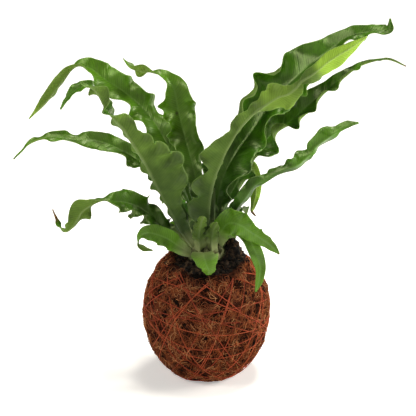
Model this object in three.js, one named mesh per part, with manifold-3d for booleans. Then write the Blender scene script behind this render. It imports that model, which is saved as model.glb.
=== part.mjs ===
// Kokedama: a crested bird's-nest fern rooted in a ball of peat that is wrapped in coir and
// wound with thread. Millimetres, +Z up. The origin is the middle of the flat spot that the
// ball rests on, and the fan of fronds spreads along X.
import * as THREE from 'three';
import { mergeVertices } from 'three/addons/utils/BufferGeometryUtils.js';
import Module from 'manifold-3d';

const wasm = await Module();
wasm.setup();

// ---- driving dimensions --------------------------------------------------------------------
const SEAT_RADIUS = 30;          // flat spot under the ball
const BALL_RADIUS = 61.8;        // widest ring of the wrapped ball
const BALL_MIDDLE = 72;          // height of that ring
const BALL_UPPER = 64;           // half-height of the ball above the ring
const FULLNESS = 2.4;            // how full the lower half is; 2 would be an ellipse
const BALL_LOWER = BALL_MIDDLE / (1 - (SEAT_RADIUS / BALL_RADIUS) ** 2) ** (1 / FULLNESS);
const WRAP_THICKNESS = 5;        // coir mat round the peat
const RIM_HEIGHT = 125;          // open edge of the mat
const RIM_DIP = 10;              // how much lower the edge lies in front
const GAP = 0.3;                 // clearance between pieces that touch
const PEAT_INSET = WRAP_THICKNESS + 3 * GAP;

const PEAT_LEVEL = 113;          // peat at the wrap's edge
const PEAT_HEAP = 11;            // how much higher it is heaped in the middle
const KNOB_MIDDLE = new THREE.Vector2(27, -6);  // clump of old roots that stands up on the right
const KNOB_HEIGHT = 21;

const CROWN_MIDDLE = new THREE.Vector2(1, 0);   // rootstock that carries the fronds
const CROWN_RADIUS = 20;
const CROWN_TOP = 138;
const CROWN_FOOT = 111;

const THREAD = 1.5;              // winding thread, side of its three-cornered section
const THREAD_STEP = 14;          // length of one straight stretch of thread
const THREAD_LIFT = 1.6;         // middle of the thread above the ball, clear of the flats of both
const THREAD_LOWEST = 3;         // a turn straight under the ball would lie this high
const BLADE = 0.8;               // frond thickness
const STALK = 2.2;               // thickness at the foot of a frond
const FOLD = 20;                 // each half of a blade stands this many degrees up from flat
const SWING = 70;                // how far its margin swings up and down, degrees
const RIPPLE = 25;               // from one swing of a margin to the next
const MOST_SWING = 64;           // the solid blades roll over less than the fresh leaf does,
const MOST_BEND = 100;           // so that a blade stays clear of itself
const SWAY = 9;                  // a blade turns about its rib by this many degrees to each side
const SCALLOP = 0.13;            // how far a ruffle pushes the margin out, share of half width
const DRIFT = 1.3;               // ruffles run ahead and behind by this much, radians
const LAG = 2.2;                 // one margin's ruffles run behind the other's by this much, radians
const BARE = 42;                 // ruffles grow from nothing over this length above the foot
const STRIDES = 6;               // short straight steps that make up the curve of a half blade
const WIDE = 40;                 // a blade wider than this has six columns of facets
const ROW = 6.25;                // length of one row of facets along a blade

// ---- colours -------------------------------------------------------------------------------
const finish = (color, roughness) => new THREE.MeshStandardMaterial({ color, roughness, metalness: 0 });
const COIR = finish('#7a4426', 0.95);
const PEAT = finish('#2b211b', 1);
const RUST_THREAD = finish('#a04a2c', 0.7);
const ROOTSTOCK = finish('#4a3826', 0.95);
const GREEN = finish('#3f7a2a', 0.4);
const YOUNG_GREEN = finish('#6fa33a', 0.45);

// ---- solids --------------------------------------------------------------------------------
function toSolid(geometry) {
  const bare = geometry.clone();
  bare.deleteAttribute('normal');
  bare.deleteAttribute('uv');
  const merged = mergeVertices(bare, 1e-4);
  return new wasm.Manifold(new wasm.Mesh({
    numProp: 3,
    vertProperties: new Float32Array(merged.attributes.position.array),
    triVerts: new Uint32Array(merged.index.array),
  }));
}

function toGeometry(solid) {
  const mesh = solid.getMesh();
  const geometry = new THREE.BufferGeometry();
  geometry.setAttribute('position', new THREE.BufferAttribute(new Float32Array(mesh.vertProperties), 3));
  geometry.setIndex(new THREE.BufferAttribute(new Uint32Array(mesh.triVerts), 1));
  geometry.computeVertexNormals();
  return geometry;
}

// A closed skin of rings, each a list of points, with a point at either end of the stack.
function ringSkin(rings, first, last) {
  const columns = rings[0].length;
  const points = [first, ...rings.flat(), last];
  const at = (row, column) => 1 + row * columns + (column % columns);
  const faces = [];
  for (let column = 0; column < columns; column++) {
    faces.push(0, at(0, column + 1), at(0, column));
    for (let row = 0; row + 1 < rings.length; row++) {
      faces.push(at(row, column), at(row, column + 1), at(row + 1, column + 1));
      faces.push(at(row, column), at(row + 1, column + 1), at(row + 1, column));
    }
    faces.push(points.length - 1, at(rings.length - 1, column), at(rings.length - 1, column + 1));
  }
  const geometry = new THREE.BufferGeometry().setFromPoints(points);
  geometry.setIndex(faces);
  geometry.computeVertexNormals();
  return geometry;
}

// ---- the ball ------------------------------------------------------------------------------
const COLUMNS = 36;
const turn = (column, columns = COLUMNS) => (2 * Math.PI * column) / columns;

// Outer radius of the wrap at a height and a bearing: an egg with its long end down, and the
// slow swells of a hand-packed ball.
function ballRadius(z, bearing) {
  const reach = z < BALL_MIDDLE ? BALL_LOWER : BALL_UPPER;
  const level = Math.min(1, Math.abs(z - BALL_MIDDLE) / reach);
  const round = BALL_RADIUS * Math.sqrt(1 - level ** (z < BALL_MIDDLE ? FULLNESS : 2));
  const away = Math.min(1, z / 20);
  const swell = 0.9 * Math.sin(2 * bearing + z / 30) + 0.7 * Math.sin(5 * bearing - z / 24);
  return round + away * swell;
}

function rimHeight(bearing) {
  const tear = 1.3 * Math.sin(5 * bearing + 1) + 0.9 * Math.sin(8 * bearing);
  return RIM_HEIGHT - RIM_DIP * Math.max(0, -Math.sin(bearing)) ** 1.5 + tear;
}

// Rings of the ball from its foot up to just below the rim, drawn in by a depth from the surface.
function ballRings(rows, depth, belowRim) {
  const rings = [];
  for (let row = 0; row <= rows; row++) {
    const rise = Math.sin((Math.PI / 2) * (row / rows)) * 0.4 + (row / rows) * 0.6;
    const ring = [];
    for (let column = 0; column < COLUMNS; column++) {
      const bearing = turn(column);
      const top = rimHeight(bearing) - belowRim;
      const z = depth + (top - depth) * rise;
      const r = ballRadius(Math.max(z, 0.01), bearing) - depth;
      ring.push(new THREE.Vector3(r * Math.cos(bearing), r * Math.sin(bearing), z));
    }
    rings.push(ring);
  }
  return rings;
}

function coirWrap() {
  const outside = ballRings(12, 0, 0);
  const inside = ballRings(8, WRAP_THICKNESS, 2).reverse();
  const under = new THREE.Vector3(0, 0, 0);
  const within = new THREE.Vector3(0, 0, WRAP_THICKNESS);
  return toSolid(ringSkin([...outside, ...inside], under, within));
}

// Height of the peat: a heap round the rootstock, a taller knob of roots on its right, lumps.
function peatHeight(x, y) {
  const heap = PEAT_HEAP * Math.exp(-((x * x + y * y) / 900));
  const fromKnob = (x - KNOB_MIDDLE.x) ** 2 + (y - KNOB_MIDDLE.y) ** 2;
  const knob = KNOB_HEIGHT * Math.exp(-fromKnob / 80);
  const lumps = 1.1 * Math.sin(x / 2.6 + y / 5) + 1.1 * Math.sin(y / 2.9 - x / 6);
  return PEAT_LEVEL + heap + knob + lumps;
}

function peatBall() {
  const sides = ballRings(8, PEAT_INSET, 2);
  const brim = sides.at(-1);
  const top = [];
  for (const share of [0.9, 0.75, 0.6, 0.45, 0.3, 0.15]) {
    top.push(brim.map((point) => {
      const x = point.x * share;
      const y = point.y * share;
      return new THREE.Vector3(x, y, Math.max(peatHeight(x, y), point.z - 5));
    }));
  }
  const foot = new THREE.Vector3(0, 0, PEAT_INSET);
  const peak = new THREE.Vector3(0, 0, peatHeight(0, 0));
  return toSolid(ringSkin([...sides, ...top], foot, peak));
}

// ---- the rootstock -------------------------------------------------------------------------
// A squat dome with rows of blunt scales, or the same form grown on all sides by a clearance.
function crownForm(grow) {
  const columns = 20;
  const rows = 6;
  const rings = [];
  for (let row = 0; row <= rows; row++) {
    const rise = row / rows;
    const ring = [];
    for (let column = 0; column < columns; column++) {
      const bearing = turn(column, columns);
      const scale = (column + row) % 2 === 0 ? 1 : 0.94;
      const r = CROWN_RADIUS * Math.cos((Math.PI / 2) * rise ** 2 * 0.95) * scale + grow;
      const height = (CROWN_TOP - CROWN_FOOT) * Math.sin((Math.PI / 2) * rise);
      const z = CROWN_FOOT - grow + height + 2 * grow * rise;
      ring.push(new THREE.Vector3(
        CROWN_MIDDLE.x + r * Math.cos(bearing), CROWN_MIDDLE.y + r * Math.sin(bearing), z));
    }
    rings.push(ring);
  }
  const foot = new THREE.Vector3(CROWN_MIDDLE.x, CROWN_MIDDLE.y, CROWN_FOOT - grow);
  const peak = new THREE.Vector3(CROWN_MIDDLE.x, CROWN_MIDDLE.y, CROWN_TOP + 0.5 + grow);
  return toSolid(ringSkin(rings, foot, peak));
}

// ---- the winding ---------------------------------------------------------------------------
// Each turn of thread is a circle round the ball: [tilt of its axis, bearing of its axis, half angle].
const TURNS = [
  [22, 250, 90], [34, 75, 88], [45, 310, 90], [46, 200, 92], [19, 22, 92], [20, 273, 89],
  [88, 285, 48], [92, 225, 50], [90, 345, 46], [86, 110, 50],
];

function threadTurn([tilt, bearing, halfAngle]) {
  const open = THREE.MathUtils.degToRad(halfAngle);
  const steps = Math.round((2 * Math.PI * BALL_RADIUS * Math.sin(open)) / THREAD_STEP);
  const corner = THREAD / Math.sqrt(3);
  const axis = new THREE.Vector3(0, 0, 1)
    .applyAxisAngle(new THREE.Vector3(0, 1, 0), THREE.MathUtils.degToRad(tilt))
    .applyAxisAngle(new THREE.Vector3(0, 0, 1), THREE.MathUtils.degToRad(bearing));
  const across = new THREE.Vector3(0, 0, 1).cross(axis).normalize();
  const rings = [];
  for (let step = 0; step < steps; step++) {
    const spoke = across.clone().applyAxisAngle(axis, turn(step, steps));
    const out = axis.clone().multiplyScalar(Math.cos(open)).addScaledVector(spoke, Math.sin(open));
    const side = axis.clone().cross(spoke).cross(out).normalize();
    const z = BALL_MIDDLE + out.z * (out.z < 0 ? BALL_MIDDLE - THREAD_LOWEST : BALL_UPPER);
    const heading = Math.atan2(out.y, out.x);
    const r = ballRadius(z, heading);
    const centre = new THREE.Vector3(r * Math.cos(heading), r * Math.sin(heading), z)
      .addScaledVector(out, THREAD_LIFT);
    const ring = [90, 210, 330].map((angle) => {
      const a = THREE.MathUtils.degToRad(angle);
      return centre.clone()
        .addScaledVector(out, Math.sin(a) * corner)
        .addScaledVector(side, Math.cos(a) * corner);
    });
    rings.push(ring);
  }
  return toSolid(hoop(rings));
}

// A closed hoop through rings of points, the last ring joined to the first.
function hoop(rings) {
  const sides = rings[0].length;
  const at = (ring, side) => (ring % rings.length) * sides + (side % sides);
  const faces = [];
  for (let ring = 0; ring < rings.length; ring++) {
    for (let side = 0; side < sides; side++) {
      faces.push(at(ring, side), at(ring + 1, side + 1), at(ring, side + 1));
      faces.push(at(ring, side), at(ring + 1, side), at(ring + 1, side + 1));
    }
  }
  const geometry = new THREE.BufferGeometry().setFromPoints(rings.flat());
  geometry.setIndex(faces);
  return geometry;
}

function winding() {
  return TURNS.map(threadTurn).reduce((joined, next) => joined.add(next));
}

// ---- the fronds ----------------------------------------------------------------------------
// Stations along a midrib are [x, y, z, width, facing]. Facing is the bearing of the upper side
// about the rib, in degrees: 0 looks to the front, 90 up and inwards, 180 to the back. A frond
// that grows to the front or back is measured from straight up instead (reference: UP). The two
// halves of a blade differ: split is the first half's share of the width, and fold, bend and
// swing are how far a half stands up at the rib, curls up and waves, in degrees. Each of these may
// follow the stations as a list. Ripple is the length of a wave.
const FRONT = new THREE.Vector3(0, -1, 0);
const UP = new THREE.Vector3(0, 0, 1);

const FRONDS = {
  arch_left: {
    stations: [
      [-9, 10, 129, 6, 60], [-16, 26, 163, 13, 40], [-30, 40, 203, 26, 30], [-51, 51, 243, 32, 26],
      [-77, 55, 271, 33, 28], [-104, 52, 291, 30, 36], [-117, 49, 301, 22, 48], [-128, 44, 303, 13, 88],
      [-143, 37, 288, 17, 128], [-156, 31, 272, 15, 130], [-174, 27, 254, 2, 110],
    ],
    bend: [[0, 0, 0, 0, 0, 0, 20, 50, 60, 40, 20], 0],
    swing: [
      [90, 90, 90, 90, 86, 70, 46, 34, 26, 20, 20],
      [90, 90, 90, 90, 86, 70, 46, 34, 26, 20, 20],
    ],
    ripple: 35,
  },
  broad_left: {
    stations: [
      [-9, -7, 127, 8, 150], [-22, -16, 148, 15, 152], [-32, -24, 170, 20, 153], [-39, -30, 184, 27, 153],
      [-45, -37, 198, 41, 153], [-53, -42, 216, 43, 152], [-61, -49, 234, 30, 150],
      [-69, -55, 249, 21, 150], [-75, -59, 261, 19, 165], [-82, -62, 270, 22, 172], [-88, -64, 278, 17, 95],
      [-92, -65, 284, 16, 40], [-95, -67, 291, 17, 130], [-98, -70, 298, 22, 165],
      [-104, -73, 304, 14, 100], [-113, -72, 304, 13, 55], [-121, -70, 298, 10, 50],
      [-132, -67, 283, 2, 50],
    ],
    split: [
      0.5, 0.55, 0.55, 0.6, 0.72, 0.8, 0.8, 0.75, 0.65, 0.55, 0.5, 0.5, 0.5, 0.5, 0.5, 0.5, 0.5, 0.5,
    ],
    fold: [[30, 30, 30, 30, 32, 34, 34, 32, 28, 25, 20, 20, 20, 20, 20, 20, 20, 20], 40],
    swing: [[30, 34, 40, 46, 50, 54, 54, 54, 50, 44, 40, 40, 40, 40, 30, 25, 20, 20], 60],
    ripple: 19,
  },
  low_far_left: {
    stations: [
      [-13, 2, 127, 5, 70], [-26, 6, 167, 12, 60], [-46, 11, 196, 18, 50], [-66, 14, 214, 22, 42],
      [-87, 16, 227, 21, 38], [-109, 16, 235, 19, 40], [-130, 15, 236, 16, 50], [-152, 12, 239, 13, 64],
      [-172, 10, 233, 8, 78], [-188, 8, 218, 2, 80],
    ],
    swing: 86,
    ripple: 35,
  },
  front_left: {
    stations: [
      [-14, 0, 126, 6, 60], [-27, 3, 137, 12, 45], [-42, 4, 149, 22, 34], [-56, 0, 165, 27, 30],
      [-75, -14, 180, 27, 32], [-89, -27, 185, 20, 50], [-99, -30, 187, 9, 95], [-108, -33, 184, 22, 140],
      [-118, -34, 177, 25, 150], [-127, -34, 163, 17, 140], [-134, -34, 157, 9, 110],
      [-141, -32, 162, 8, 80], [-147, -30, 178, 2, 80],
    ],
    swing: 95,
    ripple: 24,
  },
  short_left: {
    stations: [
      [-13, -10, 125, 7, 50], [-26, -23, 138, 15, 38], [-38, -31, 149, 20, 30], [-49, -36, 155, 19, 28],
      [-57, -39, 157, 15, 35], [-63, -40, 154, 11, 70], [-65, -39, 146, 8, 110], [-60, -34, 141, 8, 120],
      [-52, -30, 137, 2, 120],
    ],
    fold: [10, 16],
    swing: 30,
    ripple: 19,
    young: true,
  },
  upright: {
    stations: [
      [-4, 7, 132, 6, 20], [-7, 14, 170, 13, 12], [-12, 21, 202, 18, 8], [-21, 28, 234, 33, 5],
      [-28, 32, 262, 37, 6], [-32, 32, 283, 28, 18], [-39, 30, 294, 14, 55], [-53, 28, 300, 15, 100],
      [-64, 23, 302, 21, 112], [-74, 21, 306, 15, 112], [-80, 19, 315, 2, 110],
    ],
    fold: 14,
    swing: 84,
    ripple: 33,
  },
  broad_right: {
    stations: [
      [0, -8, 129, 10, 150], [2, -23, 157, 21, 145], [3, -35, 184, 23, 142], [6, -41, 203, 22, 142],
      [10, -46, 219, 13, 142], [14, -49, 228, 27, 142], [18, -52, 239, 28, 142], [23, -54, 249, 16, 143],
      [29, -56, 260, 13, 145], [36, -58, 269, 14, 150], [43, -60, 277, 12, 155], [51, -61, 283, 15, 162],
      [58, -61, 288, 24, 172], [66, -61, 293, 27, 180], [74, -62, 296, 23, 185], [81, -61, 301, 14, 185],
      [86, -61, 307, 6, 178], [96, -61, 314, 18, 160], [113, -58, 327, 22, 152], [130, -55, 337, 15, 150],
      [145, -53, 347, 2, 150],
    ],
    split: [
      0.8, 0.2, 0.15, 0.2, 0.3, 0.2, 0.2, 0.25, 0.3, 0.2, 0.35, 0.4, 0.4, 0.5, 0.6, 0.65, 0.5, 0.6, 0.6,
      0.6, 0.5,
    ],
    fold: [
      [55, 55, 55, 55, 55, 55, 55, 55, 55, 50, 50, 40, 20, 15, 15, 15, 15, 10, 10, 10, 5],
      [26, 26, 26, 26, 26, 26, 26, 26, 26, 30, 30, 20, 12, 10, 10, 10, 10, 10, 10, 10, 5],
    ],
    swing: [
      [40, 40, 40, 40, 40, 40, 40, 40, 40, 40, 40, 40, 40, 40, 40, 30, 20, 10, 8, 8, 8],
      [60, 64, 66, 70, 70, 70, 70, 70, 70, 66, 60, 56, 50, 44, 40, 30, 20, 12, 8, 8, 8],
    ],
    ripple: 21,
  },
  long_right: {
    stations: [
      [5, 9, 131, 8, 20], [10, 8, 171, 20, 15], [16, 9, 197, 46, 12], [27, 13, 220, 56, 12],
      [41, 21, 238, 62, 14], [55, 28, 256, 64, 18], [68, 35, 272, 60, 22], [82, 40, 287, 54, 24],
      [96, 43, 300, 46, 26], [110, 47, 311, 38, 26], [124, 46, 322, 27, 30], [140, 44, 333, 20, 42],
      [161, 43, 338, 14, 40], [178, 40, 341, 9, 20], [178, 37, 351, 2, 20],
    ],
    split: [0.5, 0.5, 0.5, 0.56, 0.66, 0.68, 0.66, 0.6, 0.54, 0.48, 0.45, 0.45, 0.5, 0.5, 0.5],
    fold: [
      [0, 0, 0, 0, 0, 0, 0, 0, 5, 10, 15, 25, 25, 20, 20],
      [20, 30, 40, 44, 44, 42, 40, 36, 26, 12, 10, 20, 25, 20, 20],
    ],
    bend: [[0, 0, 60, 130, 150, 150, 140, 110, 50, 10, 0, 0, 0, 0, 0], 0],
    swing: [40, 70],
    ripple: 31,
  },
  far_right: {
    stations: [
      [10, 8, 129, 6, 45], [18, 25, 163, 20, 35], [30, 38, 185, 38, 30], [42, 46, 207, 42, 30],
      [56, 47, 224, 40, 32], [71, 47, 239, 34, 34], [89, 44, 252, 28, 30], [103, 41, 267, 25, 25],
      [119, 40, 281, 19, 40], [136, 35, 296, 12, 35], [152, 31, 307, 8, 60], [175, 26, 313, 5, 80],
      [193, 22, 307, 2, 80],
    ],
    fold: [10, 22],
    bend: [0, 80],
    swing: [50, 115],
    ripple: 31,
  },
  slim_right: {
    stations: [
      [12, -3, 128, 5, 40], [21, -11, 156, 8, 30], [30, -20, 177, 11, 30], [38, -24, 189, 15, 20],
      [45, -26, 200, 13, 20], [55, -28, 207, 10, 30], [66, -29, 214, 9, 40], [77, -29, 218, 12, 25],
      [86, -29, 221, 19, 10], [93, -28, 227, 21, 15], [99, -28, 233, 9, 50], [104, -27, 239, 17, 15],
      [113, -27, 246, 22, 10], [120, -26, 251, 17, 25], [125, -24, 255, 8, 50], [134, -22, 259, 8, 40],
      [144, -20, 260, 2, 50],
    ],
    split: 0.6,
    fold: [10, -66],
    swing: [75, 16],
    ripple: 23,
  },
  drooping_back_right: {
    stations: [
      [7, 23, 127, 6, 60], [21, 59, 162, 9, 60], [34, 78, 192, 10, 80], [44, 83, 195, 11, 130],
      [50, 82, 184, 12, 170], [51, 79, 165, 12, 180], [48, 76, 150, 5, 180], [47, 75, 146, 3, 180],
      [51, 73, 141, 1.5, 180],
    ],
    young: true,
  },
  low_right: {
    stations: [
      [10, -4, 129, 8, 20], [12, -12, 143, 13, 14], [15, -19, 154, 22, 10], [22, -25, 163, 28, 10],
      [33, -33, 163, 27, 12], [41, -39, 159, 18, 15], [53, -45, 153, 13, 18], [62, -49, 147, 9, 20],
      [69, -51, 140, 2, 25],
    ],
    split: [0.5, 0.45, 0.45, 0.5, 0.5, 0.5, 0.5, 0.5, 0.5],
    fold: [6, 8],
    swing: 52,
    ripple: 12,
    young: true,
  },
  hanging_right: {
    stations: [
      [13, 4, 129, 6, 40], [22, 2, 144, 8, 40], [32, -11, 150, 10, 35], [41, -30, 148, 13, 25],
      [47, -44, 139, 14, 20], [51, -53, 128, 11, 18], [50, -54, 115, 9, 15], [47, -53, 103, 2, 15],
    ],
    fold: [10, 10],
    swing: 24,
    ripple: 24,
    young: true,
  },
  front_short: {
    stations: [
      [-3, -15, 127, 8, 0], [-3, -23, 132, 10, 0], [-3, -33, 134, 22, 0], [-2, -40, 132, 29, 0],
      [0, -46, 127, 21, 0], [2, -49, 123, 15, 0], [2, -51, 119, 4, 0],
    ],
    fold: [8, 8],
    swing: 36,
    ripple: 13,
    reference: UP,
    young: true,
  },
  front_stub: {
    stations: [
      [-7, -12, 124, 12.5, 180], [-6, -20, 137, 14, 180], [-7, -32, 151, 14, 178], [-6, -42, 163, 13, 176],
      [-4, -50, 173, 9, 176], [-3, -53, 178, 3, 176],
    ],
    fold: 34,
    swing: 80,
    ripple: 11,
    young: true,
  },
  front_bud: {
    stations: [
      [6, -13, 125, 9, 196], [5, -22, 138, 12, 194], [5, -32, 150, 14, 192], [6, -38, 159, 13, 190],
      [8, -42, 165, 9, 188], [10, -43, 169, 3, 188],
    ],
    fold: 30,
    swing: 75,
    ripple: 13,
    young: true,
  },
  inner_narrow: {
    stations: [
      [6, -2, 131, 5, 150], [7, 0, 163, 10, 150], [8, 4, 190, 2, 150],
    ],
  },
  back: {
    stations: [
      [2, 18, 124, 6, 0], [3, 44, 142, 14, 0], [5, 75, 142, 22, 0], [7, 105, 132, 18, 0],
      [8, 130, 112, 2, 0],
    ],
    reference: UP,
  },
  back_left: {
    stations: [
      [-8, 16, 125, 6, 0], [-20, 38, 151, 14, 0], [-31, 64, 158, 24, 0], [-40, 90, 157, 18, 0],
      [-47, 112, 144, 2, 0],
    ],
    reference: UP,
  },
  back_right: {
    stations: [
      [13, 16, 126, 6, 0], [24, 37.5, 149, 13, 0], [31, 58, 151, 22, 0], [37, 76, 149, 16, 0],
      [42, 94, 137, 2, 0],
    ],
    reference: UP,
  },
  low_back_left: {
    stations: [
      [-14, 9, 125, 6, 0], [-25, 25, 138, 12, 0], [-35, 42, 141, 15, 0], [-45, 58, 134, 2, 0],
    ],
    reference: UP,
    young: true,
  },
  low_back_right: {
    stations: [
      [17, 7, 126, 6, 0], [29, 19, 140, 12, 0], [40, 32, 141, 14, 0], [50, 45, 135, 2, 0],
    ],
    reference: UP,
    young: true,
  },
};

// A value of a blade at a spot along its stations: one number, or a list with one per station.
function valueAt(value, spot) {
  if (!Array.isArray(value)) return value;
  const index = Math.min(Math.floor(spot), value.length - 2);
  return THREE.MathUtils.lerp(value[index], value[index + 1], spot - index);
}

// The rib as a smooth curve, with what the two halves of its blade need. A pair of values is for
// the first and the second half; a single value is for both.
function ribOf(shape, seed) {
  const { stations, reference = FRONT } = shape;
  const curve = new THREE.CatmullRomCurve3(
    stations.map(([x, y, z]) => new THREE.Vector3(x, y, z)), false, 'centripetal');
  const hand = stations.at(-1)[0] < stations[0][0] ? 1 : -1;
  const { split = 0.5, fold = FOLD, bend = 0, swing = SWING, ripple = RIPPLE } = shape;
  const halves = [0, 1].map((side) => {
    const own = (value) => (Array.isArray(value) ? value[side] : value);
    return { side, lag: side === 0 ? LAG : 0, fold: own(fold), bend: own(bend), swing: own(swing) };
  });
  return { curve, stations, reference, hand, split, ripple, halves, seed, length: curve.getLength() };
}

// Width and facing between two stations, eased from one to the next.
function bladeAt(stations, spot) {
  const index = Math.min(Math.floor(spot), stations.length - 2);
  const share = THREE.MathUtils.smoothstep(spot - index, 0, 1) * 0.5 + (spot - index) * 0.5;
  const [width, facing] = [3, 4].map((item) =>
    THREE.MathUtils.lerp(stations[index][item], stations[index + 1][item], share));
  return { width, facing };
}

// How far out from the rib and up from its plane a half blade reaches at a share of its width.
// The half leaves the rib at its fold angle and bends more and more towards its margin; the bend
// swings to and fro along the leaf.
function halfReach(rib, half, run, spot, width, edge) {
  const { lag, fold, bend, swing } = half;
  const drift = DRIFT * Math.sin(run / 33 + 2 * lag) + 0.95 * Math.sin(run / 14.3 + rib.seed + lag);
  const phase = (2 * Math.PI * run) / rib.ripple + lag + drift;
  const wave = Math.sin(phase) + 0.22 * Math.sin(2 * phase + 1.1);
  const grown = THREE.MathUtils.smoothstep(run, 0, BARE);
  const strength = (0.7 + 0.38 * Math.sin(run / 18 + 2 * lag + rib.seed)) * grown;
  const swings = Math.min(valueAt(swing, spot), MOST_SWING);
  const bends = Math.min(valueAt(bend, spot), MOST_BEND);
  const share = half.side === 0 ? valueAt(rib.split, spot) : 1 - valueAt(rib.split, spot);
  const scallop = SCALLOP * strength * Math.min(swings / SWING, 1) * Math.cos(phase);
  const stride = (width * share * (1 + scallop) * edge) / STRIDES;
  let out = 0;
  let up = 0;
  for (let step = 0; step < STRIDES; step++) {
    const here = (edge * (step + 0.5)) / STRIDES;
    const lean = valueAt(fold, spot) + (bends + swings * strength * wave) * here ** 1.4;
    out += stride * Math.cos(THREE.MathUtils.degToRad(lean));
    up += stride * Math.sin(THREE.MathUtils.degToRad(lean));
  }
  return { out, up };
}

// A point of the blade's middle sheet: along the rib from 0 to 1, and across from -1 to 1.
function bladePoint(rib, along, across) {
  const place = rib.curve.getUtoTmapping(along);
  const middle = rib.curve.getPoint(place);
  const ahead = rib.curve.getTangent(place);
  const spot = place * (rib.stations.length - 1);
  const run = along * rib.length;
  const { width, facing } = bladeAt(rib.stations, spot);
  const grown = THREE.MathUtils.smoothstep(run, 0, BARE);
  const sway = SWAY * grown * Math.sin(run / 9.5 + 2.2 * Math.sin(run / 37) + rib.seed);
  const turned = THREE.MathUtils.degToRad(facing + sway);
  const front = rib.reference.clone().addScaledVector(ahead, -rib.reference.dot(ahead)).normalize();
  const inner = ahead.clone().cross(front).multiplyScalar(rib.hand);
  const normal = front.multiplyScalar(Math.cos(turned)).addScaledVector(inner, Math.sin(turned));
  const side = ahead.clone().cross(normal).multiplyScalar(Math.sign(across));
  const half = rib.halves[across < 0 ? 0 : 1];
  const { out, up } = halfReach(rib, half, run, spot, width, Math.abs(across));
  return middle.addScaledVector(side, out).addScaledVector(normal, up);
}

function frondSolid(shape, seed) {
  const rib = ribOf(shape, seed);
  const rows = Math.max(4, Math.round(rib.length / ROW));
  const widest = Math.max(...shape.stations.map(([, , , width]) => width));
  const columns = widest > WIDE ? 6 : widest > 13 ? 4 : 2;
  const sheet = (row, column) => bladePoint(rib, row / rows, (2 * column) / columns - 1);
  const upper = [];
  const lower = [];
  for (let row = 0; row <= rows; row++) {
    for (let column = 0; column <= columns; column++) {
      const middle = sheet(row, column);
      const along = sheet(Math.min(row + 0.5, rows), column).sub(sheet(Math.max(row - 0.5, 0), column));
      const over = sheet(row, Math.min(column + 0.5, columns)).sub(sheet(row, Math.max(column - 0.5, 0)));
      const normal = along.cross(over).normalize();
      const thick = THREE.MathUtils.lerp(STALK, BLADE, Math.min(1, row / rows / 0.25)) / 2;
      upper.push(middle.clone().addScaledVector(normal, -thick));
      lower.push(middle.clone().addScaledVector(normal, thick));
    }
  }
  return toSolid(sheetSkin(upper, lower, rows, columns));
}

// Two like grids of points joined round their edge, both split along the same diagonals.
function sheetSkin(upper, lower, rows, columns) {
  const wide = columns + 1;
  const up = (row, column) => row * wide + column;
  const down = (row, column) => upper.length + up(row, column);
  const faces = [];
  const quad = (a, b, c, d) => faces.push(a, b, c, a, c, d);
  for (let row = 0; row < rows; row++) {
    for (let column = 0; column < columns; column++) {
      quad(up(row, column), up(row, column + 1), up(row + 1, column + 1), up(row + 1, column));
      faces.push(down(row, column), down(row + 1, column + 1), down(row, column + 1));
      faces.push(down(row, column), down(row + 1, column), down(row + 1, column + 1));
    }
    quad(up(row, 0), up(row + 1, 0), down(row + 1, 0), down(row, 0));
    quad(up(row + 1, columns), up(row, columns), down(row, columns), down(row + 1, columns));
  }
  for (let column = 0; column < columns; column++) {
    quad(up(0, column + 1), up(0, column), down(0, column), down(0, column + 1));
    quad(up(rows, column), up(rows, column + 1), down(rows, column + 1), down(rows, column));
  }
  const geometry = new THREE.BufferGeometry().setFromPoints([...upper, ...lower]);
  geometry.setIndex(faces);
  return geometry;
}

// ---- assembly ------------------------------------------------------------------------------
const kokedama = new THREE.Group();

function place(name, solid, material) {
  const mesh = new THREE.Mesh(toGeometry(solid), material);
  mesh.name = name;
  kokedama.add(mesh);
}

const crownRoom = crownForm(GAP);
place('coir_wrap', coirWrap(), COIR);
place('peat_ball', peatBall().subtract(crownRoom), PEAT);
place('winding_thread', winding(), RUST_THREAD);
place('crown', crownForm(0), ROOTSTOCK);
for (const [number, [name, shape]] of Object.entries(FRONDS).entries()) {
  const material = shape.young ? YOUNG_GREEN : GREEN;
  place(`frond_${name}`, frondSolid(shape, 1.7 * number).subtract(crownRoom), material);
}

export default kokedama;
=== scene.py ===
# %% [markdown]
# # A kokedama with a crested bird's-nest fern
# The real thing is a fern rooted in a ball of peat. A mat of coconut fibre holds the ball together
# and a rust-coloured thread is wound round it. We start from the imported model, which fixes every
# size and place, and give each piece the surface that the real one has.

# %% Load the frame
import math
from itertools import combinations

import bpy
import numpy as np
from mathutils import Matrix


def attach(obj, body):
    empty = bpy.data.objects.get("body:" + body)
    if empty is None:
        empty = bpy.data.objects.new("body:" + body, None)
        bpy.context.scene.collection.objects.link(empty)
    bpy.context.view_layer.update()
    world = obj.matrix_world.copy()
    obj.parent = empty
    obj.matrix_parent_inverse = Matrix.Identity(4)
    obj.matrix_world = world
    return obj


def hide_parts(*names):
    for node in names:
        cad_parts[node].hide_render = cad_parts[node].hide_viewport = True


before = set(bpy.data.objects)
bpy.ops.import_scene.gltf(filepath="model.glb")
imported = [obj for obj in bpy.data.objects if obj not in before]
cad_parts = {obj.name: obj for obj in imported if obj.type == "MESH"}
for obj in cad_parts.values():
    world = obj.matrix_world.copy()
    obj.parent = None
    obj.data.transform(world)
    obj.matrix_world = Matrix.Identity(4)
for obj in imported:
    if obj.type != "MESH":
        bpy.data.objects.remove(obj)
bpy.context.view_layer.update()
print("solids in the frame:", len(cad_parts))

# %% [markdown]
# Plants are thought of in millimetres and Blender works in metres. One constant turns one into the
# other. Whatever is scattered later draws from a seeded generator of its own, so each run gives the
# same plant.

# %% Units
MM = 0.001
print("a millimetre is", MM, "m")

# %% [markdown]
# Every surface here is made of rows of points, so one helper turns an array of points and an array
# of faces into a mesh. It can carry named values for each point, which the materials read later.

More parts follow.
